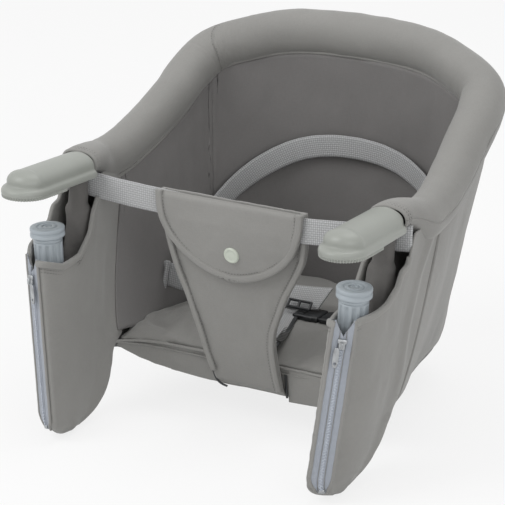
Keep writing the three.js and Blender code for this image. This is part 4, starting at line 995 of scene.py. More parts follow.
def make_pouches(context):
    sizes = context.scene.chair_sizes
    skin = PouchSkin()
    rows = evenly(92, [0.0, 1.0], 0.02, 9)
    for word, side in SIDES.items():
        flip = Matrix.Scale(side, 4, (1, 0, 0))

        def place(u, v, side=side):
            point = skin.place(u, v)
            depth = -point.z / MM
            tip = table(ZIP_LINE, depth)
            out = 1 if point.x / MM > tip.x else -1
            across = (Vector((point.x, point.y)) / MM - tip).dot(ZIP_ACROSS)
            beside = math.exp(-(((abs(across) - 15) / 4.5) ** 2)) * smooth(-50 * MM, -66 * MM, point.y)
            pucker = noise.noise(Vector((u * 9, point.z * 170, side))) * beside * 0.7 * MM
            reach = point.y / MM
            ridge = math.exp(-(((reach - ridge_reach(depth)) / 7) ** 2)) * 2.6 * (1 - smooth(120, 175, depth))
            hollow = math.exp(-(((reach - table([(25, 40), (100, 22), (176, 6)], depth)) / 9) ** 2)) * 1.6
            lift = ridge if out > 0 else -hollow * smooth(60, 110, depth)
            lift *= 1 - smooth(150, 172, depth)
            return point + Vector((out * (pucker + lift * MM), 0, 0))

        bm = shell(POUCH_COLUMNS, rows, place, (360 * MM, 170 * MM))
        bmesh.ops.remove_doubles(bm, verts=bm.verts, dist=0.05 * MM)
        foot = [e for e in bm.edges if e.is_boundary and max(v.co.z for v in e.verts) < -239.5 * MM]
        bmesh.ops.holes_fill(bm, edges=foot, sides=0)
        bmesh.ops.transform(bm, matrix=flip, verts=bm.verts)
        bmesh.ops.recalc_face_normals(bm, faces=bm.faces)
        if min(bm.faces, key=lambda f: f.calc_center_median().y).normal.y > 0:
            bmesh.ops.reverse_faces(bm, faces=bm.faces)
        free = lambda co: smooth(-74 * MM, -52 * MM, co.y) * smooth(30 * MM, 5 * MM, co.y)
        crumple(bm, 1.7 * sizes.crease, 0.075, free, (1, 1, 0.5), 3.0 * side)
        crumple(bm, 0.35 * sizes.crease, 0.018, free, (1, 1, 0.8), 7.0 * side)
        piece = add_piece(bm, f"pouch_{word}", "cover_fabric", replaces=[f"clamp_pouch_{word}"])
        thicken(piece, 1.8 * MM)
        apply_modifiers(piece)
        blend_pouch(piece)
        bind_mouth(skin, word, side, flip, sizes)
        line_pouch(word, side, flip)


def bind_mouth(skin, word, side, flip, sizes):
    """Binding over the mouth's cut edge, from the zip's notch up both sides, with two rows of stitches."""
    us = [i / 400 for i in range(401)]

    def beside(u):
        spot = skin.place(u, 0) / MM
        across = (Vector((spot.x, spot.y)) - table(ZIP_LINE, -spot.z)).dot(ZIP_ACROSS)
        return across if spot.y < -55 else math.copysign(99, across)

    def kept(u):
        return skin.mouth_at(u) > 19 and abs(beside(u)) > NOTCH_HALF

    tip = next(u for u in us if abs(beside(u)) < 2)
    for name, run in (("inner", [u for u in us if u < tip]), ("outer", [u for u in us if u > tip])):
        run = [u for u in run if kept(u)]
        edge = [flip @ skin.place(u, 0.0) for u in run]
        below = [flip @ skin.place(u, 0.03) for u in run]
        line = Line(edge, straight=True)

        def face_out(share, edge=edge, below=below, line=line):
            i = min(int(share * (len(edge) - 1)), len(edge) - 1)
            out = line.tangent(share).cross((below[i] - edge[i]).normalized())
            return out * -side if out.length > 0.2 else Vector((side, 0, 0))

        middle = [e.lerp(b, 0.46) for e, b in zip(edge, below)]
        bound = sweep(Line(middle, straight=True), sizes.binding, 4.8 * MM, face_out, 200, 14, 0.62)
        piece = add_piece(bound, f"mouth_binding_{name}_{word}", "cover_fabric")
        blend_pouch(piece)
        rows = []
        for drop in (7.4, 10.2):
            track = [
                e + (b - e).normalized() * drop * MM + face_out(i / (len(edge) - 1)) * 0.2 * MM
                for i, (e, b) in enumerate(zip(edge, below))]
            rows.append(seam(Line(track, straight=True), face_out, sizes.stitch, 0.36 * MM))
        piece = add_piece(
            join_bm(rows), f"mouth_stitching_{name}_{word}", "cover_thread")
        blend_pouch(piece)


def line_pouch(word, side, flip):
    """Inside the pouch: the wall's closed front edge and the cloth sleeve round the strut, in darker cloth
    that paints the shade inside the pouch.
    """

    def gusset(u, v):
        depth = lerp(3, 178, v)
        inner, outer = wall_front(depth, True), wall_front(depth, False)
        point = inner.lerp(outer, u)
        swell = 7 * math.sin(math.pi * u) + 2.5 * noise.noise(Vector((u * 2.5, v * 9, side)))
        return mm(point.x, point.y - swell * math.sin(math.pi * u) ** 0.5, -depth)

    bm = shell(30, 80, gusset, (40 * MM, 175 * MM))
    bmesh.ops.transform(bm, matrix=flip, verts=bm.verts)
    face_front(bm)
    piece = add_piece(bm, f"wall_front_edge_{word}", "pouch_shade_lining")
    thicken(piece, 1.6 * MM)
    apply_modifiers(piece)
    blend_pouch(piece)

    at = lean(side)

    def sleeve(u, v):
        height = lerp(-12, -172, v)
        angle = 2 * math.pi * u
        radius = table([(-172, 13), (-90, 12.5), (-48, 11.5), (-42, 8.6), (-12, 8.2)], height)
        spot = mm(radius * 1.15 * math.cos(angle), 4 + height * 35 / 219 + radius * math.sin(angle), height)
        return at @ spot

    bm = shell(56, 90, sleeve, (80 * MM, 160 * MM), closed=True)
    crumple(bm, 3.0 * MM, 0.026, lambda co: smooth(-30 * MM, -48 * MM, co.z), (1, 1, 0.35), 40.0 + side)
    crumple(bm, 0.8 * MM, 0.009, None, (1, 1, 0.5), 43.0 + side)
    add_piece(bm, f"strut_sleeve_{word}", "pouch_shade_lining", "frame")


# Zips on the pouches

TAPE_TOP, TAPE_FOOT, TAPE_NARROWS = 58, 230, 214
COIL_TOP, COIL_FOOT, COIL_TEETH = 80, 227, 98


def zip_place(depth, across, ahead):
    """A point on or before the right pouch's flat nose, in metres."""
    tip = table(ZIP_LINE, depth)
    at = tip + ZIP_ACROSS * across + ZIP_AHEAD * (ahead - 0.3 * (across / TAPE_HALF) ** 2)
    return mm(at.x, at.y, -depth)


def make_zips(context):
    for word, side in SIDES.items():
        flip = Matrix.Scale(side, 4, (1, 0, 0))
        facing = flip.to_3x3() @ Vector((ZIP_AHEAD.x, ZIP_AHEAD.y, 0))

        def tape(u, v):
            depth = lerp(TAPE_TOP, TAPE_FOOT, v)
            narrow = 1 - 0.55 * smooth(TAPE_NARROWS, TAPE_FOOT, depth)
            across = lerp(-TAPE_HALF, TAPE_HALF, u) * narrow
            depth = max(depth, 60 + 15 * max(0, 1 - abs(across) / NOTCH_HALF) ** 0.8)
            ridge = 0.9 * math.exp(-((across / 2.0) ** 2))
            ridge -= 1.5 * math.exp(-(((abs(across) - 3.0) / 0.55) ** 2))
            return zip_place(depth, across, 1.0 + ridge)

        bm = shell(48, 160, tape, (2 * TAPE_HALF * MM, 176 * MM))
        bmesh.ops.transform(bm, matrix=flip, verts=bm.verts)
        face_front(bm)
        piece = add_piece(bm, f"zip_tapes_{word}", "zip_fabric", "frame", replaces=[f"zip_tape_{word}"])
        thicken(piece, 0.7 * MM)

        teeth = bmesh.new()
        for i in range(COIL_TEETH):
            depth = lerp(COIL_TOP, COIL_FOOT, i / (COIL_TEETH - 1))
            centre = flip @ zip_place(depth, 0.4 * (1 if i % 2 else -1), 2.1)
            turn = Matrix.Rotation(side * NOSE_TURN, 4, "Z")
            shape = turn @ Matrix.Diagonal((1.7 * MM, 0.8 * MM, 0.66 * MM, 1))
            at = Matrix.Translation(centre) @ shape
            bmesh.ops.create_icosphere(teeth, subdivisions=1, radius=1.0, matrix=at)
        add_piece(teeth, f"zip_coil_{word}", "zip_coil", "frame")

        # Folded edges of the cover along both sides of the tape
        for name, across in (("inner", -TAPE_HALF - 0.9), ("outer", TAPE_HALF + 0.9)):
            depths = [61, 66] + [75 + 7 * i for i in range(20)] + [214, 219, 224, 229]
            points = []
            for d in depths:
                wave = 0.35 * noise.noise(Vector((d * 0.4, across, side)))
                narrow = 1 - 0.5 * smooth(TAPE_NARROWS, TAPE_FOOT, d)
                points.append(flip @ zip_place(d, across * narrow + wave, 0.9))
            fold = sweep(Line(points), 3.0 * MM, 2.2 * MM, lambda s: facing, 160, 10, 0.8)
            add_piece(fold, f"zip_edge_{name}_{word}", "cover_fabric", "frame")

        down = (flip @ (zip_place(205, 0, 0) - zip_place(85, 0, 0))).normalized()
        across_line = facing.cross(down).normalized()
        basis = Matrix((across_line, down.cross(across_line), down)).transposed().to_4x4()
        if basis.determinant() < 0:
            basis = basis @ Matrix.Diagonal((-1, 1, 1, 1))
        body_at = flip @ zip_place(83, 0, 3.3)
        shoulders = flip @ zip_place(79.5, 0, 3.4)
        parts = [
            bar(6.0, 3.2, 9.0, body_at, 1.2, basis), bar(8.6, 3.0, 4.6, shoulders, 1.3, basis),
            bar(2.2, 3.4, 6.4, body_at + facing * 2.2 * MM, 0.9, basis)]
        add_piece(
            join_bm(parts), f"zip_runner_{word}", "zinc", f"zip_{word}", replaces=[f"zip_slider_{word}"])
        stop = bar(5.5, 1.8, 4.0, flip @ zip_place(COIL_FOOT, 0, 2.2), 0.8, basis)
        add_piece(stop, f"zip_stop_{word}", "zinc", "frame")
        make_pull(word, mm(side * 163, -87.7, -85), facing)


def make_pull(word, pivot, facing):
    """The zip's pull: a plate with a hole, hanging in front of the runner."""
    bm = bmesh.new()
    low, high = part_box(f"zip_pull_{word}")
    half = (high.z - low.z) / 2
    hang = ((low + high) / 2 - pivot).normalized()
    wide = facing.cross(-hang).normalized()
    turn = Matrix((wide, (-hang).cross(wide), -hang)).transposed().to_4x4()
    outer = bmesh.ops.create_circle(bm, cap_ends=False, radius=1.0, segments=32)["verts"]
    for vert in outer:
        c, s = vert.co.x, vert.co.y
        x = 2.75 * MM * math.copysign(abs(c) ** 0.6, c)
        vert.co = Vector((x, 0, half * math.copysign(abs(s) ** 0.75, s)))
    rim_edges = list(bm.edges)
    hole = bmesh.ops.create_circle(bm, cap_ends=False, radius=1.4 * MM, segments=16)["verts"]
    for vert in hole:
        vert.co = Vector((vert.co.x, 0, vert.co.y - half * 0.58))
    bmesh.ops.bridge_loops(bm, edges=rim_edges + [e for e in bm.edges if e not in rim_edges])
    bmesh.ops.solidify(bm, geom=bm.faces[:], thickness=1.3 * MM)
    bmesh.ops.recalc_face_normals(bm, faces=bm.faces)
    bmesh.ops.transform(bm, matrix=Matrix.Translation((low + high) / 2) @ turn, verts=bm.verts)
    piece = add_piece(bm, f"zip_tab_{word}", "zinc", f"pull_{word}", replaces=[f"zip_pull_{word}"])
    made = piece.modifiers.new("Edge", "BEVEL")
    made.width, made.segments, made.limit_method = 0.35 * MM, 2, "ANGLE"


# Arm boots and their soles

BOOT_SECTION = [
    (0.0, 2.2, 0.0), (11.0, 2.2, 13.0), (20.6, 2.2, 24.0), (21.9, 2.6, 25.4), (22.7, 3.6, 26.2),
    (23.0, 5.2, 26.5), (22.8, 6.9, 26.2), (22.2, 8.3, 25.4), (21.2, 9.2, 23.6), (20.3, 9.7, 21.4),
    (19.7, 10.4, 19.4), (19.4, 11.4, 18.2)]
BOOT_DOME = (19.3, 12.0, 12.4, 17.6)
BOOT_NOSE, BOOT_PIVOT = -84.0, -50.0
BOOT_TURN, BOOT_PITCH = math.radians(2.2), math.radians(3.5)
SOLE_TEETH, SOLE_REACH, SOLE_REAR = 66, 22.1, 45


def boot_frame(side):
    """The boot's own axes: its nose is a little raised and turned outward."""
    there = Matrix.Translation(mm(side * ARM_X / MM, BOOT_PIVOT, 0))
    turn = Matrix.Rotation(side * BOOT_TURN, 4, "Z") @ Matrix.Rotation(-BOOT_PITCH, 4, "X")
    return there @ turn @ Matrix.Translation(mm(0, -BOOT_PIVOT, 0))


def boot_taper(reach):
    """How much the boot narrows toward its rear."""
    return lerp(1.0, 0.97, smooth(-70, 0, reach))


def make_boots(context):
    radius, floor, rise, nose = BOOT_DOME
    dome = [
        (radius * math.cos(a), floor + rise * math.sin(a) ** 0.86, nose * math.cos(a) ** 0.9)
        for a in (math.pi / 2 * i / 15 for i in range(16))]
    section = BOOT_SECTION + dome
    top = len(section) - 1
    corner = [0.0, 0.3, 0.6, 0.82, 0.93, 0.985]
    path = [("rear", s) for s in corner] + [("side", s) for s in evenly(30)]
    path += [("nose", i / 28) for i in range(1, 28)]
    path += [("far", 1 - s) for s in evenly(30)] + [("end", s) for s in reversed(corner)]

    def boot(u, v):
        part, s = path[round(u * (len(path) - 1))]
        half, height, ahead = section[round(v * top)]
        if part in ("rear", "end"):
            sign = 1 if part == "rear" else -1
            y = -1.4 * (1 - math.sqrt(max(0, 1 - s**8)))
            return mm(sign * half * s * boot_taper(0), y, height)
        if part == "nose":
            angle = math.pi * s
            ridge = 0.5 * smooth(0, 0.06, s) * (1 - smooth(0.94, 1, s)) * smooth(11, 13, height)
            front = BOOT_NOSE - (ahead + ridge) * math.sin(angle)
            return mm((half + ridge) * math.cos(angle), front, height + ridge)
        y = lerp(-1.4, BOOT_NOSE, s)
        return mm((1 if part == "side" else -1) * half * boot_taper(y), y, height)

    def sole(u, v):
        start, far = BOOT_PIVOT, BOOT_NOSE
        straight = start - far
        round_length = math.pi * 24
        total = 2 * straight + round_length
        along = u * (total + SOLE_REAR)
        level = [
            (0.0, 0.0), (0.9, 0.0), (0.975, 0.2), (0.99, 0.7), (1.0, 3.4), (0.985, 4.0), (0.9, 4.2),
            (0.0, 4.2)]
        grow, height = level[round(v * 7)]
        wave = 0.65 * math.sin(2 * math.pi * SOLE_TEETH * u)
        reach = SOLE_REACH + wave * (1 if along < total else 0)
        middle = far
        if along < straight:
            x, y = reach, start - along
            middle = y
        elif along < straight + round_length:
            angle = math.pi * (along - straight) / round_length
            x, y = reach * math.cos(angle), far - (reach + 3.3) * math.sin(angle)
        elif along < total:
            x, y = -reach, far + along - straight - round_length
            middle = y
        else:
            x, y = lerp(-reach, reach, (along - total) / SOLE_REAR), start
            middle = start
        return mm(x * grow, lerp(middle, y, grow), height)

    for word, side in SIDES.items():
        bm = shell(len(path) - 1, top, boot, (300 * MM, 60 * MM), closed=True)
        bmesh.ops.transform(bm, matrix=boot_frame(side), verts=bm.verts)
        add_piece(bm, f"boot_{word}", "boot_rubber", "frame", replaces=[f"arm_boot_{word}"])
        bm = shell(SOLE_TEETH * 8, 7, sole, (220 * MM, 20 * MM), closed=True)
        bmesh.ops.transform(bm, matrix=boot_frame(side), verts=bm.verts)
        add_piece(bm, f"sole_{word}", "boot_rubber", "frame", replaces=[f"grip_sole_{word}"])


# Bent tube of the side frames


def frame_line():
    corners = [Vector(p) for p in ((0, -88, 0), (0, 5, 0), (0, -30, -219), (0, -64, -219))]
    points = [corners[0]]
    for i, bend in ((1, 20), (2, 22)):
        into = (corners[i] - corners[i - 1]).normalized()
        out = (corners[i + 1] - corners[i]).normalized()
        setback = bend * math.tan(into.angle(out) / 2)
        first, last = corners[i] - into * setback, corners[i] + out * setback
        for k in range(13):
            t = k / 12
            points.append(first * (1 - t) ** 2 + corners[i] * 2 * t * (1 - t) + last * t * t)
    points.append(corners[3])
    return Line([p * MM for p in points], straight=True)


def make_side_frames(context):
    line = frame_line()
    for word, side in SIDES.items():
        bm = sweep(line, 12 * MM, 12 * MM, lambda s: Vector((1, 0, 0)), 90, 28)
        bmesh.ops.transform(bm, matrix=lean(side), verts=bm.verts)
        add_piece(bm, f"bent_tube_{word}", "frame_paint", "frame", replaces=[f"side_frame_{word}"])


# Screw clamps

PAD_TOP, PAD_FLOOR = -49.0, -59.0
NUT_TOP, NUT_FOOT = -59.3, -125.3


def make_clamps(context):
    pad = [(0, PAD_FLOOR)]
    pad += [(r, PAD_FLOOR + z) for r, z in (
        (15.2, 0), (16.4, 0.5), (16.6, 1.2), (16.6, 3.6), (15.7, 4.3), (15.5, 5.0), (15.7, 5.7), (16.6, 6.4))]
    pad += [(r, PAD_TOP - z) for r, z in (
        (16.6, 1.3), (16.1, 0.4), (15.3, 0), (10.6, 0), (10.1, 0.25), (9.7, 0.85), (8.6, 0.85), (8.2, 0.25),
        (7.7, 0), (4.8, 0), (4.7, 0.4), (4.7, 2.7), (0, 2.7))]
    head = [(r, PAD_TOP - z) for r, z in (
        (0, 9.6), (2.4, 9.6), (2.4, 2.5), (4.3, 2.5), (4.4, 1.1), (3.9, 0.55), (1.5, 0.45), (1.2, 1.2),
        (0, 1.2))]
    profile = [(0.0, NUT_FOOT), (0.55, NUT_FOOT), (0.9, NUT_FOOT), (1.0, NUT_FOOT + 1.2)]
    profile += [(1.0, lerp(NUT_FOOT + 3, NUT_TOP - 6.4, i / 14)) for i in range(15)]
    profile += [(r, NUT_TOP - z) for r, z in (
        (1.0, 4.6), (0.99, 4.3), (0.94, 4.0), (0.94, 3.5), (1.0, 3.2), (1.0, 0.8), (0.96, 0), (0.5, 0),
        (0, 0))]
    last = len(profile) - 1

    def nut(u, v):
        share, height = profile[round(v * last)]
        radius = lerp(12.2, 13.9, smooth(NUT_FOOT, NUT_FOOT + 40, height))
        angle = 2 * math.pi * u
        groove = smooth(0.5, 1.0, abs(math.cos(6 * angle)))
        run = smooth(NUT_FOOT + 1, NUT_FOOT + 5, height) * (1 - smooth(NUT_TOP - 6.5, NUT_TOP - 4.8, height))
        radius = radius * share - 1.4 * groove * run * (share > 0.9)
        return mm(radius * math.cos(angle), radius * math.sin(angle), height)

    for word, side in SIDES.items():
        at = lean(side) @ Matrix.Translation((0, -57 * MM, 0))
        add_piece(
            spun(pad, 72, at), f"pad_{word}", "pad_rubber", f"clamp_{word}", replaces=[f"clamp_pad_{word}"])
        add_piece(
            spun(head, 32, at), f"pad_fixing_{word}", "clamp_plastic", f"clamp_{word}",
            replaces=[f"pad_screw_{word}"])
        bm = shell(192, last, nut, (85 * MM, 66 * MM), closed=True)
        bmesh.ops.transform(bm, matrix=at, verts=bm.verts)
        add_piece(bm, f"nut_{word}", "clamp_plastic", f"nut_{word}", replaces=[f"hand_nut_{word}"])


# Front strap

STRAP_TOP = [
    (-188, 3.4), (-172, 2.5), (-152, 0.7), (-75, -2.1), (0, -5), (79.6, -5.7), (127, -1.2), (183, 4.2),
    (188, 4.4)]
STRAP_WIDTH = 25
WEBBING_THICK = 1.5 * MM


def make_front_strap(context):
    front = [(0, 5), (30, 5), (60, 5), (90, 5), (118, 5.2), (140, 6.6), (152, 7.8), (176, 8.2), (184, 8.4)]
    fold = [(187.2, 9.4), (184.5, 10.8), (176, 11), (158, 11.2)]
    half = front + fold
    line = Line([mm(-x, y, 0) for x, y in reversed(half)] + [mm(x, y, 0) for x, y in half[1:]])

    def place(u, v):
        point = line.at(u)
        top = table(STRAP_TOP, point.x / MM)
        slack = 0.5 * noise.noise(Vector((u * 26, v * 1.2, 2.2)))
        cup = 0.5 * (2 * v - 1) ** 2
        return point + mm(0, slack + cup, top - STRAP_WIDTH * (1 - v))

    bm = shell(320, 12, place, (line.length, STRAP_WIDTH * MM), flip=True)
    piece = add_piece(bm, "chest_strap", "webbing", "frame", replaces=["front_strap"])
    thicken(piece, WEBBING_THICK, 0.0)


# Crotch panel, its flap and the snap

PANEL_LINE = [
    (9, -2.4), (9, -30), (13.2, -60), (17.8, -93), (31.5, -186), (34.5, -198), (42, -203.2), (82, -204)]
PANEL_LEFT = [
    (-207, -28), (-200, -31), (-192, -34), (-185, -36), (-165, -41.9), (-147, -45.9), (-129.5, -50.9),
    (-106, -57.6), (-86, -64.6), (-73.8, -67.9), (-60, -71), (-30, -75), (0, -77)]
PANEL_RIGHT = [
    (-207, 42), (-198, 41.5), (-186, 39.5), (-174, 38.2), (-160, 37), (-148, 36.8), (-133, 38.8),
    (-112, 46.8), (-92.4, 55), (-65.5, 69.7), (-50, 76.4), (-34, 79), (0, 79)]
FLAP_DROP, FLAP_HALF, SNAP_DROP = 79, 76.5, 52.5


def flap_half(share):
    return FLAP_HALF * max(0, 1 - share**2.4) ** 0.6 + 2


def flap_place(share, across, forward):
    """A point of the flap in metres: share down it, across in millimetres."""
    hang = max(0, share * FLAP_DROP - 25)
    return mm(across, 3.6 + hang * 0.14 - forward, -2.4 - share * FLAP_DROP)


def panel_side(pairs):
    """Where one edge of the panel lies at a height, smoothed from a few measured places."""
    points = Line([Vector((x, 0, z)) for z, x in pairs]).samples(60)
    return [(p.z, p.x) for p in points]


def make_crotch_panel(context):
    sizes = context.scene.chair_sizes
    line = Line([mm(0, y, z) for y, z in PANEL_LINE])
    left, right = panel_side(PANEL_LEFT), panel_side(PANEL_RIGHT)

    def across(u, v, lift=0.0):
        point, tangent = line.at(v), line.tangent(v)
        normal = Vector((0, tangent.z, -tangent.y))
        height = point.z / MM
        under = smooth(40 * MM, 80 * MM, point.y)
        edges = [lerp(table(side, height), end, under) for side, end in ((left, -26), (right, 30))]
        wave = 1.4 * math.sin(math.pi * u) * smooth(0.3, 0.6, v) * (1 - smooth(0.75, 0.9, v))
        return point + Vector((lerp(*edges, u) * MM, 0, 0)) + normal * (lift - wave) * MM

    bm = shell(70, 150, across, (150 * MM, line.length))
    free = lambda co: smooth(70 * MM, 40 * MM, co.y) * smooth(-0.2, -0.17, co.z)
    crumple(bm, 1.7 * sizes.crease, 0.06, free, (1.6, 1, 0.6), 4.0)
    crumple(bm, 0.35 * sizes.crease, 0.014, free, (1, 1, 1), 6.0)
    piece = add_piece(bm, "panel", "cover_fabric", "frame", replaces=["crotch_panel"])
    thicken(piece, 2.4 * MM, 1.0)

    up = lambda s: Vector((0, -1, 0.12))
    for name, u in (("left", 0.0), ("right", 1.0)):
        inward = math.copysign(1, 0.5 - u)
        end = 0.752 if name == "left" else 0.79
        edge = [across(u, lerp(0.0, end, i / 120), 1.2) + mm(inward * 2.6, 0, 0) for i in range(121)]
        bound = sweep(Line(edge, straight=True), 6.0 * MM, 4.4 * MM, up, 160, 12, 0.6)
        add_piece(bound, f"panel_binding_{name}", "cover_fabric", "frame")
        row = Line([p + mm(inward * 4.4, -1.9, 0) for p in edge], straight=True)
        stitches = seam(row, up, sizes.stitch)
        add_piece(stitches, f"panel_stitching_{name}", "cover_thread", "frame")

    # Black bars in the base's slits, into which the panel's edges go; they paint the shadow in the slits
    slits = [
        [(-36.8, 35, -189.5), (-34, 34.4, -195.5), (-31, 34.2, -199.4), (-26.5, 34.4, -202),
         (-21, 35, -203.6)],
        [(41.5, 38, -180), (42.2, 37.6, -188), (43.0, 37.2, -196), (44.0, 37, -203.4)]]
    parts = [
        sweep(Line([mm(*p) for p in slits[0]]), 2.2 * MM, 2.0 * MM, lambda s: Vector((0, -1, 0)), 60, 10),
        sweep(Line([mm(*p) for p in slits[1]]), 2.6 * MM, 1.6 * MM, lambda s: Vector((0, -1, 0)), 60, 10)]
    add_piece(join_bm(parts), "base_slit_shadows", "black_plastic", "frame")
    make_flap(sizes)


def make_flap(sizes):
    shares = sorted(set([math.sin(math.pi / 2 * i / 60) for i in range(61)] + [0.01, 0.02, 0.035]))

    def front(u, v):
        across = flap_half(v) * math.sin(math.pi / 2 * (2 * u - 1))
        roll = 3.4 * (1 - smooth(0, 0.07, v)) ** 1.5
        puff = 1.1 * (1 - (across / 80) ** 2) * math.sin(math.pi * min(1, v * 1.1)) if v < 0.95 else 0
        return flap_place(v, across, 2.6 + puff - roll)

    bm = shell(80, shares, front, (158 * MM, 90 * MM))
    bmesh.ops.remove_doubles(bm, verts=bm.verts, dist=0.01 * MM)
    face_front(bm)
    free = lambda co: smooth(-0.004, -0.02, co.z)
    crumple(bm, 1.2 * sizes.crease, 0.06, free, (1, 1, 1), 14.0)
    crumple(bm, 0.3 * sizes.crease, 0.013, free, (1, 1, 1), 15.0)
    piece = add_piece(bm, "flap_cloth", "cover_fabric", "flap", replaces=["crotch_flap"])
    thicken(piece, 2.2 * MM)

    outline = []
    for i in range(201):
        t = -1 + 2 * i / 200
        share = math.sin(math.pi / 2 * min(1, (1 - abs(t)) * 1.0001) ** 0.9)
        outline.append(flap_place(share * 0.985, math.copysign(max(0, flap_half(share) - 3.0), t), 1.7))
    edge = Line(outline, straight=True)
    up = lambda s: Vector((0, -1, -0.14))
    bound = sweep(edge, 1.12 * sizes.binding, 4.8 * MM, up, 240, 14, 0.6)
    add_piece(bound, "flap_binding", "cover_fabric", "flap")
    centre = mm(0, 6, -30)
    stitches = []
    for p in edge.samples(160):
        toward = centre - p
        toward.y = 0
        stitches.append(p + toward.normalized() * 4.9 * MM - mm(0, 1.6, 0))
    row = seam(Line(stitches, straight=True), up, sizes.stitch)
    add_piece(row, "flap_stitching", "cover_thread", "flap")

    normal = Vector((0, -1, -0.14)).normalized()
    seat = flap_place(SNAP_DROP / FLAP_DROP, 2.2, 3.4) + normal * 0.3 * MM
    at = Matrix.Translation(seat) @ normal.to_track_quat("Z", "Y").to_matrix().to_4x4()
    cap = [
        (0, -0.4), (7.9, -0.4), (8.1, 0.3), (7.9, 1.0), (7.3, 1.7), (6.5, 2.1), (5.9, 2.0), (5.5, 1.6),
        (4.6, 1.5), (3.0, 1.75), (1.5, 1.88), (0, 1.92)]
    add_piece(spun(cap, 56, at), "snap_face", "snap_plastic", "flap", replaces=["snap_cap"])


# Seat base, its band and cushion

BAND_HALF = 138.5
BAND_REACH = [(0, 41), (60, 40.8), (95, 39), (112, 35.8), (122, 31.5), (130, 26.5), (138.5, 19.5)]
BAND_FLOOR = [(0, -203.5), (45, -203.8), (80, -201.5), (105, -198), (120, -192), (130, -185.5), (138.5, -178)]
BAND_TOP = -174.0
CUSHION_FRONT, CUSHION_REAR = 41.5, 256.0
CUSHION_UNDER, CUSHION_LOW, CUSHION_TOP = -177.6, -177.0, -157.5
CUSHION_GRID, CUSHION_SIZE = (84, 76), (270 * MM, 215 * MM)
APRON_LEFT, APRON_RIGHT = 44.5, 130
SETTLE_FRAMES = 20


def band_place(x, share, forward=0.0):
    """A point of the band over the base's front, from its foot to its top, in metres."""
    size = abs(x)
    reach = table(BAND_REACH, size)
    lean_in = Vector((math.copysign(min(1.0, (size / BAND_HALF) ** 5), x) * 0.6, -1, 0)).normalized()
    spot = mm(x, reach, lerp(table(BAND_FLOOR, size), BAND_TOP, share))
    return spot + lean_in * forward * MM


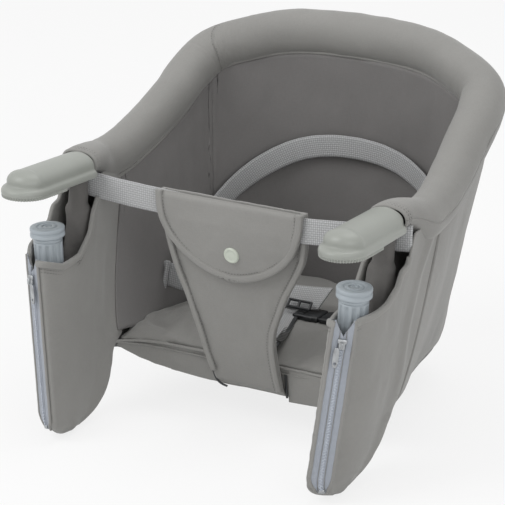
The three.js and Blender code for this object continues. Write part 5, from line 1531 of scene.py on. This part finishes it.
def make_seat(context):
    sizes = context.scene.chair_sizes
    foot = inset_line(lining_foot, 1.5 * MM)
    front_corner = foot.at(1).y

    def cushion_half(reach):
        ahead = reach <= front_corner + 0.5 * MM
        spread = 7 * MM * (1 - smooth(70 * MM, 130 * MM, reach))
        return foot.at(1 if ahead else share_at_reach(foot, reach)).x + spread

    def edge_lift(u, v):
        return 12 * abs(2 * u - 1) ** 8 * smooth(0.03, 0.16, v)

    # Cushion: a crowned pad whose front corners come to a point over the band
    def pad(u, v):
        across = 2 * u - 1
        reach = lerp(CUSHION_FRONT, CUSHION_REAR, v) * MM
        half = cushion_half(reach)
        if v > 0.93:
            half *= math.sqrt(max(0.0, 1 - ((v - 0.93) / 0.07) ** 2 * 0.97))
        corner = abs(across) ** 4 * (1 - smooth(0, 0.16, v))
        rise = (1 - abs(across) ** 5.5) ** 0.5 * (1 - abs(2 * v - 1) ** 3.6) ** 0.55
        x = half * across + math.copysign(corner * 2.0 * MM, across)
        low = CUSHION_LOW + edge_lift(u, v)
        return Vector((x, reach - corner * 19 * MM, lerp(low, CUSHION_TOP, rise) * MM))

    def underside(u, v):
        point = pad(u, v)
        return Vector((point.x, point.y, (edge_lift(u, v) + CUSHION_UNDER) * MM))

    top = shell(*CUSHION_GRID, pad, CUSHION_SIZE)
    under = shell(*CUSHION_GRID, underside, CUSHION_SIZE)
    bmesh.ops.reverse_faces(under, faces=under.faces)
    whole = join_bm([top, under])
    bmesh.ops.remove_doubles(whole, verts=whole.verts, dist=1.2 * MM)
    bmesh.ops.recalc_face_normals(whole, faces=whole.faces)
    piece = add_piece(whole, "cushion", "cover_fabric", "frame", replaces=["seat_cushion"])
    sewn = lambda co: co.z < -175.2 * MM or abs(co.x) > cushion_half(min(co.y, 0.25)) - 7 * MM or co.y < 0.044
    settle(piece, 5 * MM, 4.0, 7 * MM, sewn)

    # Band over the base's front edge, with two overlapping turned edges
    def band(u, v):
        x = lerp(-BAND_HALF, BAND_HALF, u)
        belly = 1.8 * math.sin(math.pi * v) * (1 - (2 * u - 1) ** 4)
        return band_place(x, v, belly)

    bm = shell(130, 30, band, (280 * MM, 32 * MM))
    face_front(bm)
    crumple(bm, 1.1 * sizes.crease, 0.04, None, (1, 1, 1), 31.0)
    piece = add_piece(bm, "base_front", "cover_fabric", "frame", replaces=["front_band"])
    thicken(piece, 2.0 * MM)
    for name, share, forward, size in (("upper", 0.97, 0.6, 3.2), ("lower", 0.8, 1.6, 2.6)):
        points = [band_place(lerp(-BAND_HALF, BAND_HALF, i / 80), share, forward) for i in range(81)]
        rope = sweep(Line(points), size * MM, 0.8 * size * MM, lambda s: Vector((0, 0, 1)), 160, 10)
        add_piece(rope, f"front_edge_{name}", "cover_fabric", "frame")

    # Second cloth right of the panel, with an upright edge and a lower foot
    def apron(u, v):
        x = lerp(APRON_LEFT, APRON_RIGHT, u)
        drop = lerp(-0.16, 0.02, smooth(92, 128, x))
        return band_place(x, lerp(drop, 0.94, v), 2.2 + 1.2 * math.sin(math.pi * v))

    bm = shell(60, 24, apron, (86 * MM, 34 * MM))
    face_front(bm)
    crumple(bm, 0.9 * sizes.crease, 0.03, None, (1, 1, 1), 12.0)
    piece = add_piece(bm, "base_apron", "cover_fabric", "frame")
    thicken(piece, 1.8 * MM)

    # Tray under the seat: a shallow moulded dish with a rolled edge
    profile = [
        (1.0, -194.0), (1.0, -196.5), (0.9995, -199.5), (0.996, -202.6), (0.985, -204.4), (0.96, -205.0),
        (0.6, -205.0), (0.0, -205.0)]
    edge = base_line(0.8 * MM).samples(140)
    edge += [edge[-1].lerp(edge[0], i / 40) for i in range(1, 41)]
    for point in edge:
        rounded = smooth(88, 133, abs(point.x) / MM) * (1 - smooth(60, 130, point.y / MM))
        point.x *= 1 - 0.1 * rounded
        point.y += 26 * rounded * MM + 1.5 * MM

    def tray(u, v):
        grow, height = profile[round(v * 7)]
        spot = Vector((0, 160 * MM, 0)).lerp(edge[round(u * (len(edge) - 1))], grow)
        return Vector((spot.x, spot.y, height * MM))

    bm = shell(len(edge) - 1, 7, tray, (900 * MM, 60 * MM), closed=True)
    piece = add_piece(bm, "base_tray", "base_plastic", "frame", replaces=["seat_tray"])
    thicken(piece, 2.2 * MM)


def settle(piece, voxel, pressure, cap, sewn):
    rest = piece.modifiers.new("Remesh", "REMESH")
    rest.mode, rest.voxel_size = "VOXEL", voxel
    apply_modifiers(piece)
    layer = piece.data.uv_layers.get("UVMap") or piece.data.uv_layers.new(name="UVMap")
    for loop, uv in zip(piece.data.loops, layer.data):
        uv.uv = piece.data.vertices[loop.vertex_index].co.xy
    start = [v.co.copy() for v in piece.data.vertices]
    group = piece.vertex_groups.new(name="sewn")
    group.add([v.index for v in piece.data.vertices if sewn(v.co)], 1.0, "REPLACE")
    cloth = piece.modifiers.new("Cloth", "CLOTH")
    cloth.settings.vertex_group_mass = "sewn"
    cloth.settings.quality = 6
    cloth.settings.mass = 0.3
    cloth.settings.tension_stiffness = cloth.settings.compression_stiffness = 30
    cloth.settings.bending_stiffness = 4
    cloth.settings.use_pressure = True
    cloth.settings.uniform_pressure_force = pressure
    cloth.settings.shrink_min = -0.03
    cloth.settings.effector_weights.gravity = 0
    cloth.point_cache.frame_start, cloth.point_cache.frame_end = 1, SETTLE_FRAMES
    scene = bpy.context.scene
    for number in range(1, SETTLE_FRAMES + 1):
        scene.frame_set(number)
    apply_modifiers(piece)
    scene.frame_set(1)
    for vert, before in zip(piece.data.vertices, start):
        move = vert.co - before
        if move.length > cap:
            vert.co = before + move * (cap / move.length)
    for polygon in piece.data.polygons:
        polygon.use_smooth = True
    made = piece.modifiers.new("Subdivision", "SUBSURF")
    made.levels = made.render_levels = 1


# Waist belt, buckle and crotch strap

BELT_SHARES = [(0.5, 0.64), (0.59, 0.61), (0.67, 0.53), (0.74, 0.45), (0.81, 0.37), (0.85, 0.31)]
BUCKLE = mm(25, 118, -148.5)
BELT_HALF = 11.5
BELT_LIFT = 8 * MM


def belt_point(share, up):
    """A point of the belt before the lining."""
    at = lerp(1 - wall_edge, wall_edge, share)
    out = outward(rim, at)
    top = rim.at(at) - out * (15 * MM + BELT_LIFT)
    top.z -= BOLSTER_RADIUS
    low = inset_line(lining_foot, 4 * MM + BELT_LIFT).at(share)
    return low.lerp(top, up) + out * 5 * MM * math.sin(math.pi * up**0.6)


def webbing_strip(line, uprights, half, seed, slant=0.0):
    """Flat webbing along a line; uprights gives its cross direction, as reach and height, by share."""

    def place(u, v):
        tangent = line.tangent(u)
        reach, height = (table([(share, up[axis]) for share, up in uprights], u) for axis in (0, 1))
        up = Vector((0, reach, height))
        across = (up - tangent * up.dot(tangent)).normalized()
        cup = 0.5 * (2 * v - 1) ** 2
        wave = 0.6 * noise.noise(Vector((u * 0.09 / MM * line.length, 0, seed)))
        shift = tangent * slant * (1 - v) * smooth(0.8, 1, u) * MM
        side = across * lerp(-half, half, v) * MM
        return line.at(u) + side + tangent.cross(across) * (wave - cup) * MM - shift

    count = max(24, int(line.length / MM / 2.5))
    return shell(count, 8, place, (line.length, 2 * half * MM), flip=True)


def make_belt(context):
    right = [belt_point(share, up) for share, up in BELT_SHARES]
    left = [Vector((-p.x, p.y, p.z)) for p in reversed(right[1:])]
    round_back = webbing_strip(Line([*left, *right]), [(0, (0, 1)), (1, (0, 1))], BELT_HALF, 4.4)
    piece = add_piece(round_back, "lap_belt", "webbing", replaces=["waist_belt"])
    thicken(piece, WEBBING_THICK, 0.0)
    apply_modifiers(piece)
    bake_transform(piece)

    # Left half, from its slot in the lining to a slanted end behind the buckle
    points = [(-141, 119, -133), (-139.5, 113, -133), (-134, 111.5, -133.2), (-100, 114, -137),
              (-60, 120, -139.5), (-20, 125.5, -138), (16, 127, -135.5), (41, 127, -132.5)]
    uprights = [(0, (0, 1)), (0.35, (0.1, 1)), (0.75, (0.75, 0.7)), (1, (0.75, 0.7))]
    strip = webbing_strip(Line([mm(*p) for p in points]), uprights, 12.5, 6.1, 9)
    piece = add_piece(strip, "lap_belt_left", "webbing", "frame")
    thicken(piece, WEBBING_THICK, 0.0)

    fold = Line([mm(-131.5, 108.5, -118), mm(-136.5, 108, -147)])
    turned = sweep(fold, 5.0 * MM, 2.6 * MM, lambda s: Vector((0.3, -1, 0)), 24, 10, 0.6)
    add_piece(turned, "lap_belt_fold", "webbing", "frame")

    # Right half: from beside the buckle, its outer end reaches the lining
    start = BUCKLE + mm(24, 0, 0)
    points = [start, start + mm(14, 0.5, 2), mm(82, 117, -140), mm(108, 113, -134), mm(134, 108, -130)]
    uprights = [(0, (1, 0)), (0.3, (0.9, 0.4)), (0.8, (0.1, 1)), (1, (0, 1))]
    strip = webbing_strip(Line(points), uprights, BELT_HALF, 7.7)
    piece = add_piece(strip, "lap_belt_end", "webbing")
    thicken(piece, WEBBING_THICK, 0.0)
    apply_modifiers(piece)
    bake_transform(piece)

    parts = [bar(28, 25, 5.6, BUCKLE, 2.0), bar(7, 18, 1.0, BUCKLE + mm(-6, 0, 2.9), 0.4)]
    for side in (-1, 1):
        parts.append(bar(9, 2.2, 4.2, BUCKLE + mm(3, side * 12.2, 0), 0.9))
    for i in range(3):
        parts.append(bar(1.0, 14, 0.8, BUCKLE + mm(-8 + 2.2 * i, 0, 3.5), 0.3))
    add_piece(join_bm(parts), "buckle_shell", "black_plastic", "frame", replaces=["buckle_body"])

    grip = BUCKLE + mm(20, 0, 0)
    parts = [bar(10.4, 22.4, 5, grip, 1.8), bar(22, 3.4, 3.0, BUCKLE + mm(6, 0, 0), 1.0)]
    for side in (-1, 1):
        parts.append(bar(22, 4.0, 3.0, BUCKLE + mm(6, side * 8.0, 0), 1.2))
        parts.append(bar(8, 1.6, 4.2, grip + mm(0, side * 11.0, 0), 0.6))
    add_piece(join_bm(parts), "buckle_insert", "black_plastic", "tongue", replaces=["buckle_tongue"])

    # Adjuster on the left half's end, a ladder of thin bars
    parts = [bar(26, 2.4, 2.6, mm(14.5, y, z), 0.9) for y, z in ((117.5, -136.2), (112, -141.4))]
    tilt = Matrix.Rotation(0.75, 4, "X")
    parts += [bar(2.4, 8.6, 2.4, mm(x, 114.7, -138.8), 0.8, tilt) for x in (2.5, 14, 26.5)]
    add_piece(join_bm(parts), "belt_adjuster", "black_plastic", "frame")
    low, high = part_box("tri_glide")
    centre = (low + high) / 2
    parts = [bar(2.6, 30, 3.0, centre + mm(x, 0, 0), 1.0) for x in (-5.6, 0, 5.6)]
    parts += [bar(14, 2.8, 3.0, centre + mm(0, y, 0), 1.0) for y in (-13.4, 13.4)]
    add_piece(join_bm(parts), "glide", "black_plastic", "frame", replaces=["tri_glide"])

    # Webbing from the buckle down to the slit in the cushion, with near-black strips along its edges that
    # paint the shadow there
    strap = Line([mm(3, 122, -147), mm(6, 104, -149.5), mm(12, 76, -153.5), mm(15, 44, -159)])
    bm = shell(12, 40, lambda u, v: strap.at(v) + mm(lerp(-10, 9, u), 0, 0), (20 * MM, 80 * MM))
    piece = add_piece(bm, "crotch_webbing", "webbing", "frame", replaces=["crotch_strap"])
    thicken(piece, WEBBING_THICK, 0.0)
    # Painted shadow: black strips along both edges of the strap.
    for name, x, width in (("left", -10, 2.2), ("right", 10, 4.6)):
        points = [strap.at(i / 12) + mm(x, 0, 0.3) for i in range(13)]
        edge = sweep(Line(points), width * MM, 2.2 * MM, lambda s: Vector((0, 0, 1)), 40, 8)
        add_piece(edge, f"crotch_webbing_shadow_edge_{name}", "webbing_shadow", "frame")
    ribs = [bar(8.5, 1.5, 1.6, mm(24.6 - 0.55 * i, 56 + 3.0 * i, -154.6 + 0.25 * i), 0.5) for i in range(12)]
    add_piece(join_bm(ribs), "strap_end", "base_plastic", "frame")


# CAD nodes that stay, with their finishes

KEPT_FINISHES = {
    "clamp_foot": "frame_paint", "spindle": "zinc", "hinge_bracket": "frame_paint", "hinge_pin": "zinc",
    "bow_lug": "frame_paint", "rail_bolt": "zinc", "back_bow": "frame_paint", "seat_rail": "frame_paint",
    "front_rail": "frame_paint", "seat_board": "base_plastic", "board_screw": "zinc",
    "snap_stud": "snap_plastic"}


def make_fittings(context):
    for name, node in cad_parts.items():
        for start, finish in KEPT_FINISHES.items():
            if name.startswith(start):
                node.data.materials.clear()
                node.data.materials.append(finish_of(finish))


# Floor, light and camera

CAMERA_TARGET = mm(24.2, 4.7, -48.5)
CAMERA_DISTANCE = 2611.5 * MM
AZIMUTH, ELEVATION = math.radians(29.6), math.radians(19.9)
LENS, SENSOR = 199.6, 36.0
FLOOR_HEIGHT = -241


def area_light(name, place, target, width, height, power):
    data = bpy.data.lights.new(name, "AREA")
    data.shape, data.size, data.size_y = "RECTANGLE", width, height
    data.energy = power
    lamp = bpy.data.objects.new(name, data)
    bpy.context.scene.collection.objects.link(lamp)
    lamp.location = place
    lamp.rotation_euler = (Vector(target) - Vector(place)).to_track_quat("-Z", "Y").to_euler()


def seen_rays(f):
    """1 for the rays by which the camera, metal and glass see the background."""
    path = f.node("ShaderNodeLightPath", output="Is Camera Ray")
    total = path + path.output("Is Glossy Ray") + path.output("Is Transmission Ray")
    return total.math("MINIMUM", 1.0)


def make_stage(context):
    scene = context.scene
    f = new_finish("pale_floor")
    grain = f.noise(f.place(), 3.0, 2.0)
    pale = f.mixed(grain, (0.86, 0.86, 0.86, 1), (0.88, 0.88, 0.88, 1))
    matt = f.node("ShaderNodeBsdfDiffuse", None, {"Color": pale})
    glow = f.node("ShaderNodeEmission", None, {"Color": (1, 1, 1, 1), "Strength": 1.0})
    seen = f.node("ShaderNodeMixShader", None, {0: seen_rays(f) * 0.8, 1: matt, 2: glow})
    f.show(seen, "ShaderNodeOutputMaterial")
    bm = bmesh.new()
    bmesh.ops.create_grid(bm, x_segments=8, y_segments=8, size=6.0)
    bmesh.ops.translate(bm, vec=mm(0, 0, FLOOR_HEIGHT), verts=bm.verts)
    mesh = bpy.data.meshes.new("floor")
    bm.to_mesh(mesh)
    bm.free()
    floor = bpy.data.objects.new("floor", mesh)
    scene.collection.objects.link(floor)
    mesh.materials.append(f.owner)

    world = bpy.data.worlds.new("studio")
    scene.world = world
    f = Finish(world)
    strength = 0.52 + seen_rays(f) * 0.48
    sky = f.node("ShaderNodeBackground", None, {"Color": (1, 1, 1, 1), "Strength": strength})
    f.show(sky, "ShaderNodeOutputWorld")

    area_light("key", (-1.4, -1.6, 2.0), (0, 0.1, -0.05), 1.6, 1.6, 34)
    area_light("fill", (1.9, -1.3, 1.0), (0, 0.1, -0.05), 1.6, 1.2, 12)
    area_light("top", (0.2, 0.8, 2.2), (0, 0.1, 0), 1.4, 1.4, 14)

    data = bpy.data.cameras.new("camera")
    data.lens, data.sensor_width = LENS, SENSOR
    data.clip_start, data.clip_end = 0.05, 60
    camera = bpy.data.objects.new("camera", data)
    scene.collection.objects.link(camera)
    level = math.cos(ELEVATION)
    back = Vector((math.sin(AZIMUTH) * level, -math.cos(AZIMUTH) * level, math.sin(ELEVATION)))
    camera.location = CAMERA_TARGET + back * CAMERA_DISTANCE
    camera.rotation_euler = back.to_track_quat("Z", "Y").to_euler()
    scene.camera = camera
    scene.view_settings.view_transform = "Standard"


# Operators and panel


class CHAIR_OT_stage(bpy.types.Operator):
    """Adds the floor, the lights and the camera"""

    bl_idname = "chair.stage"
    bl_label = "Stage"

    def execute(self, context):
        make_stage(context)
        return {"FINISHED"}


class CHAIR_OT_rim(bpy.types.Operator):
    """Adds the padded rim, its piping and stitching"""

    bl_idname = "chair.rim"
    bl_label = "Padded rim"

    def execute(self, context):
        make_rim(context)
        return {"FINISHED"}


class CHAIR_OT_walls(bpy.types.Operator):
    """Adds the seat's outer wall and its lining"""

    bl_idname = "chair.walls"
    bl_label = "Walls"

    def execute(self, context):
        make_walls(context)
        return {"FINISHED"}


class CHAIR_OT_pouches(bpy.types.Operator):
    """Adds the two cloth pouches round the clamps"""

    bl_idname = "chair.pouches"
    bl_label = "Clamp pouches"

    def execute(self, context):
        make_pouches(context)
        return {"FINISHED"}


class CHAIR_OT_zips(bpy.types.Operator):
    """Adds the zips on the pouches"""

    bl_idname = "chair.zips"
    bl_label = "Zips"

    def execute(self, context):
        make_zips(context)
        return {"FINISHED"}


class CHAIR_OT_boots(bpy.types.Operator):
    """Adds the moulded arm boots and their soles"""

    bl_idname = "chair.boots"
    bl_label = "Arm boots"

    def execute(self, context):
        make_boots(context)
        return {"FINISHED"}


class CHAIR_OT_side_frames(bpy.types.Operator):
    """Adds the bent tubes of the frame"""

    bl_idname = "chair.side_frames"
    bl_label = "Side frames"

    def execute(self, context):
        make_side_frames(context)
        return {"FINISHED"}


class CHAIR_OT_clamps(bpy.types.Operator):
    """Adds the hand nuts and pads of the clamps"""

    bl_idname = "chair.clamps"
    bl_label = "Screw clamps"

    def execute(self, context):
        make_clamps(context)
        return {"FINISHED"}


class CHAIR_OT_front_strap(bpy.types.Operator):
    """Adds the webbing strap across the front"""

    bl_idname = "chair.front_strap"
    bl_label = "Front strap"

    def execute(self, context):
        make_front_strap(context)
        return {"FINISHED"}


class CHAIR_OT_crotch_panel(bpy.types.Operator):
    """Adds the crotch panel, its flap and the snap"""

    bl_idname = "chair.crotch_panel"
    bl_label = "Crotch panel"

    def execute(self, context):
        make_crotch_panel(context)
        return {"FINISHED"}


class CHAIR_OT_seat(bpy.types.Operator):
    """Adds the seat's cushion, front band and tray"""

    bl_idname = "chair.seat"
    bl_label = "Seat"

    def execute(self, context):
        make_seat(context)
        return {"FINISHED"}


class CHAIR_OT_belt(bpy.types.Operator):
    """Adds the waist belt, the buckle and the crotch strap"""

    bl_idname = "chair.belt"
    bl_label = "Waist belt"

    def execute(self, context):
        make_belt(context)
        return {"FINISHED"}


class CHAIR_OT_fittings(bpy.types.Operator):
    """Gives the frame's own fittings their finishes"""

    bl_idname = "chair.fittings"
    bl_label = "Fittings"

    def execute(self, context):
        make_fittings(context)
        return {"FINISHED"}


OPERATORS = [
    CHAIR_OT_stage,
    CHAIR_OT_rim,
    CHAIR_OT_walls,
    CHAIR_OT_pouches,
    CHAIR_OT_zips,
    CHAIR_OT_boots,
    CHAIR_OT_side_frames,
    CHAIR_OT_clamps,
    CHAIR_OT_front_strap,
    CHAIR_OT_crotch_panel,
    CHAIR_OT_seat,
    CHAIR_OT_belt,
    CHAIR_OT_fittings,
]


class CHAIR_PT_build(bpy.types.Panel):
    """Lists the chair's pieces, sizes and colours."""

    bl_idname = "CHAIR_PT_build"
    bl_label = "Hook-on table chair"
    bl_space_type = "VIEW_3D"
    bl_region_type = "UI"
    bl_category = "Chair"

    def draw(self, context):
        layout = self.layout
        for operator in OPERATORS:
            layout.operator(operator.bl_idname)
        for group in (context.scene.chair_sizes, context.scene.chair_colours):
            for key in group.bl_rna.properties.keys():
                if key not in ("rna_type", "name"):
                    layout.prop(group, key)


CLASSES = [ChairSizes, ChairColours, *OPERATORS, CHAIR_PT_build]


def register():
    for cls in CLASSES:
        bpy.utils.register_class(cls)
    bpy.types.Scene.chair_sizes = PointerProperty(type=ChairSizes)
    bpy.types.Scene.chair_colours = PointerProperty(type=ChairColours)


def unregister():
    del bpy.types.Scene.chair_colours
    del bpy.types.Scene.chair_sizes
    for cls in reversed(CLASSES):
        bpy.utils.unregister_class(cls)


def main():
    register()
    bpy.ops.chair.stage()
    bpy.ops.chair.rim()
    bpy.ops.chair.walls()
    bpy.ops.chair.pouches()
    bpy.ops.chair.zips()
    bpy.ops.chair.boots()
    bpy.ops.chair.side_frames()
    bpy.ops.chair.clamps()
    bpy.ops.chair.front_strap()
    bpy.ops.chair.crotch_panel()
    bpy.ops.chair.seat()
    bpy.ops.chair.belt()
    bpy.ops.chair.fittings()


if __name__ == "__main__":
    main()
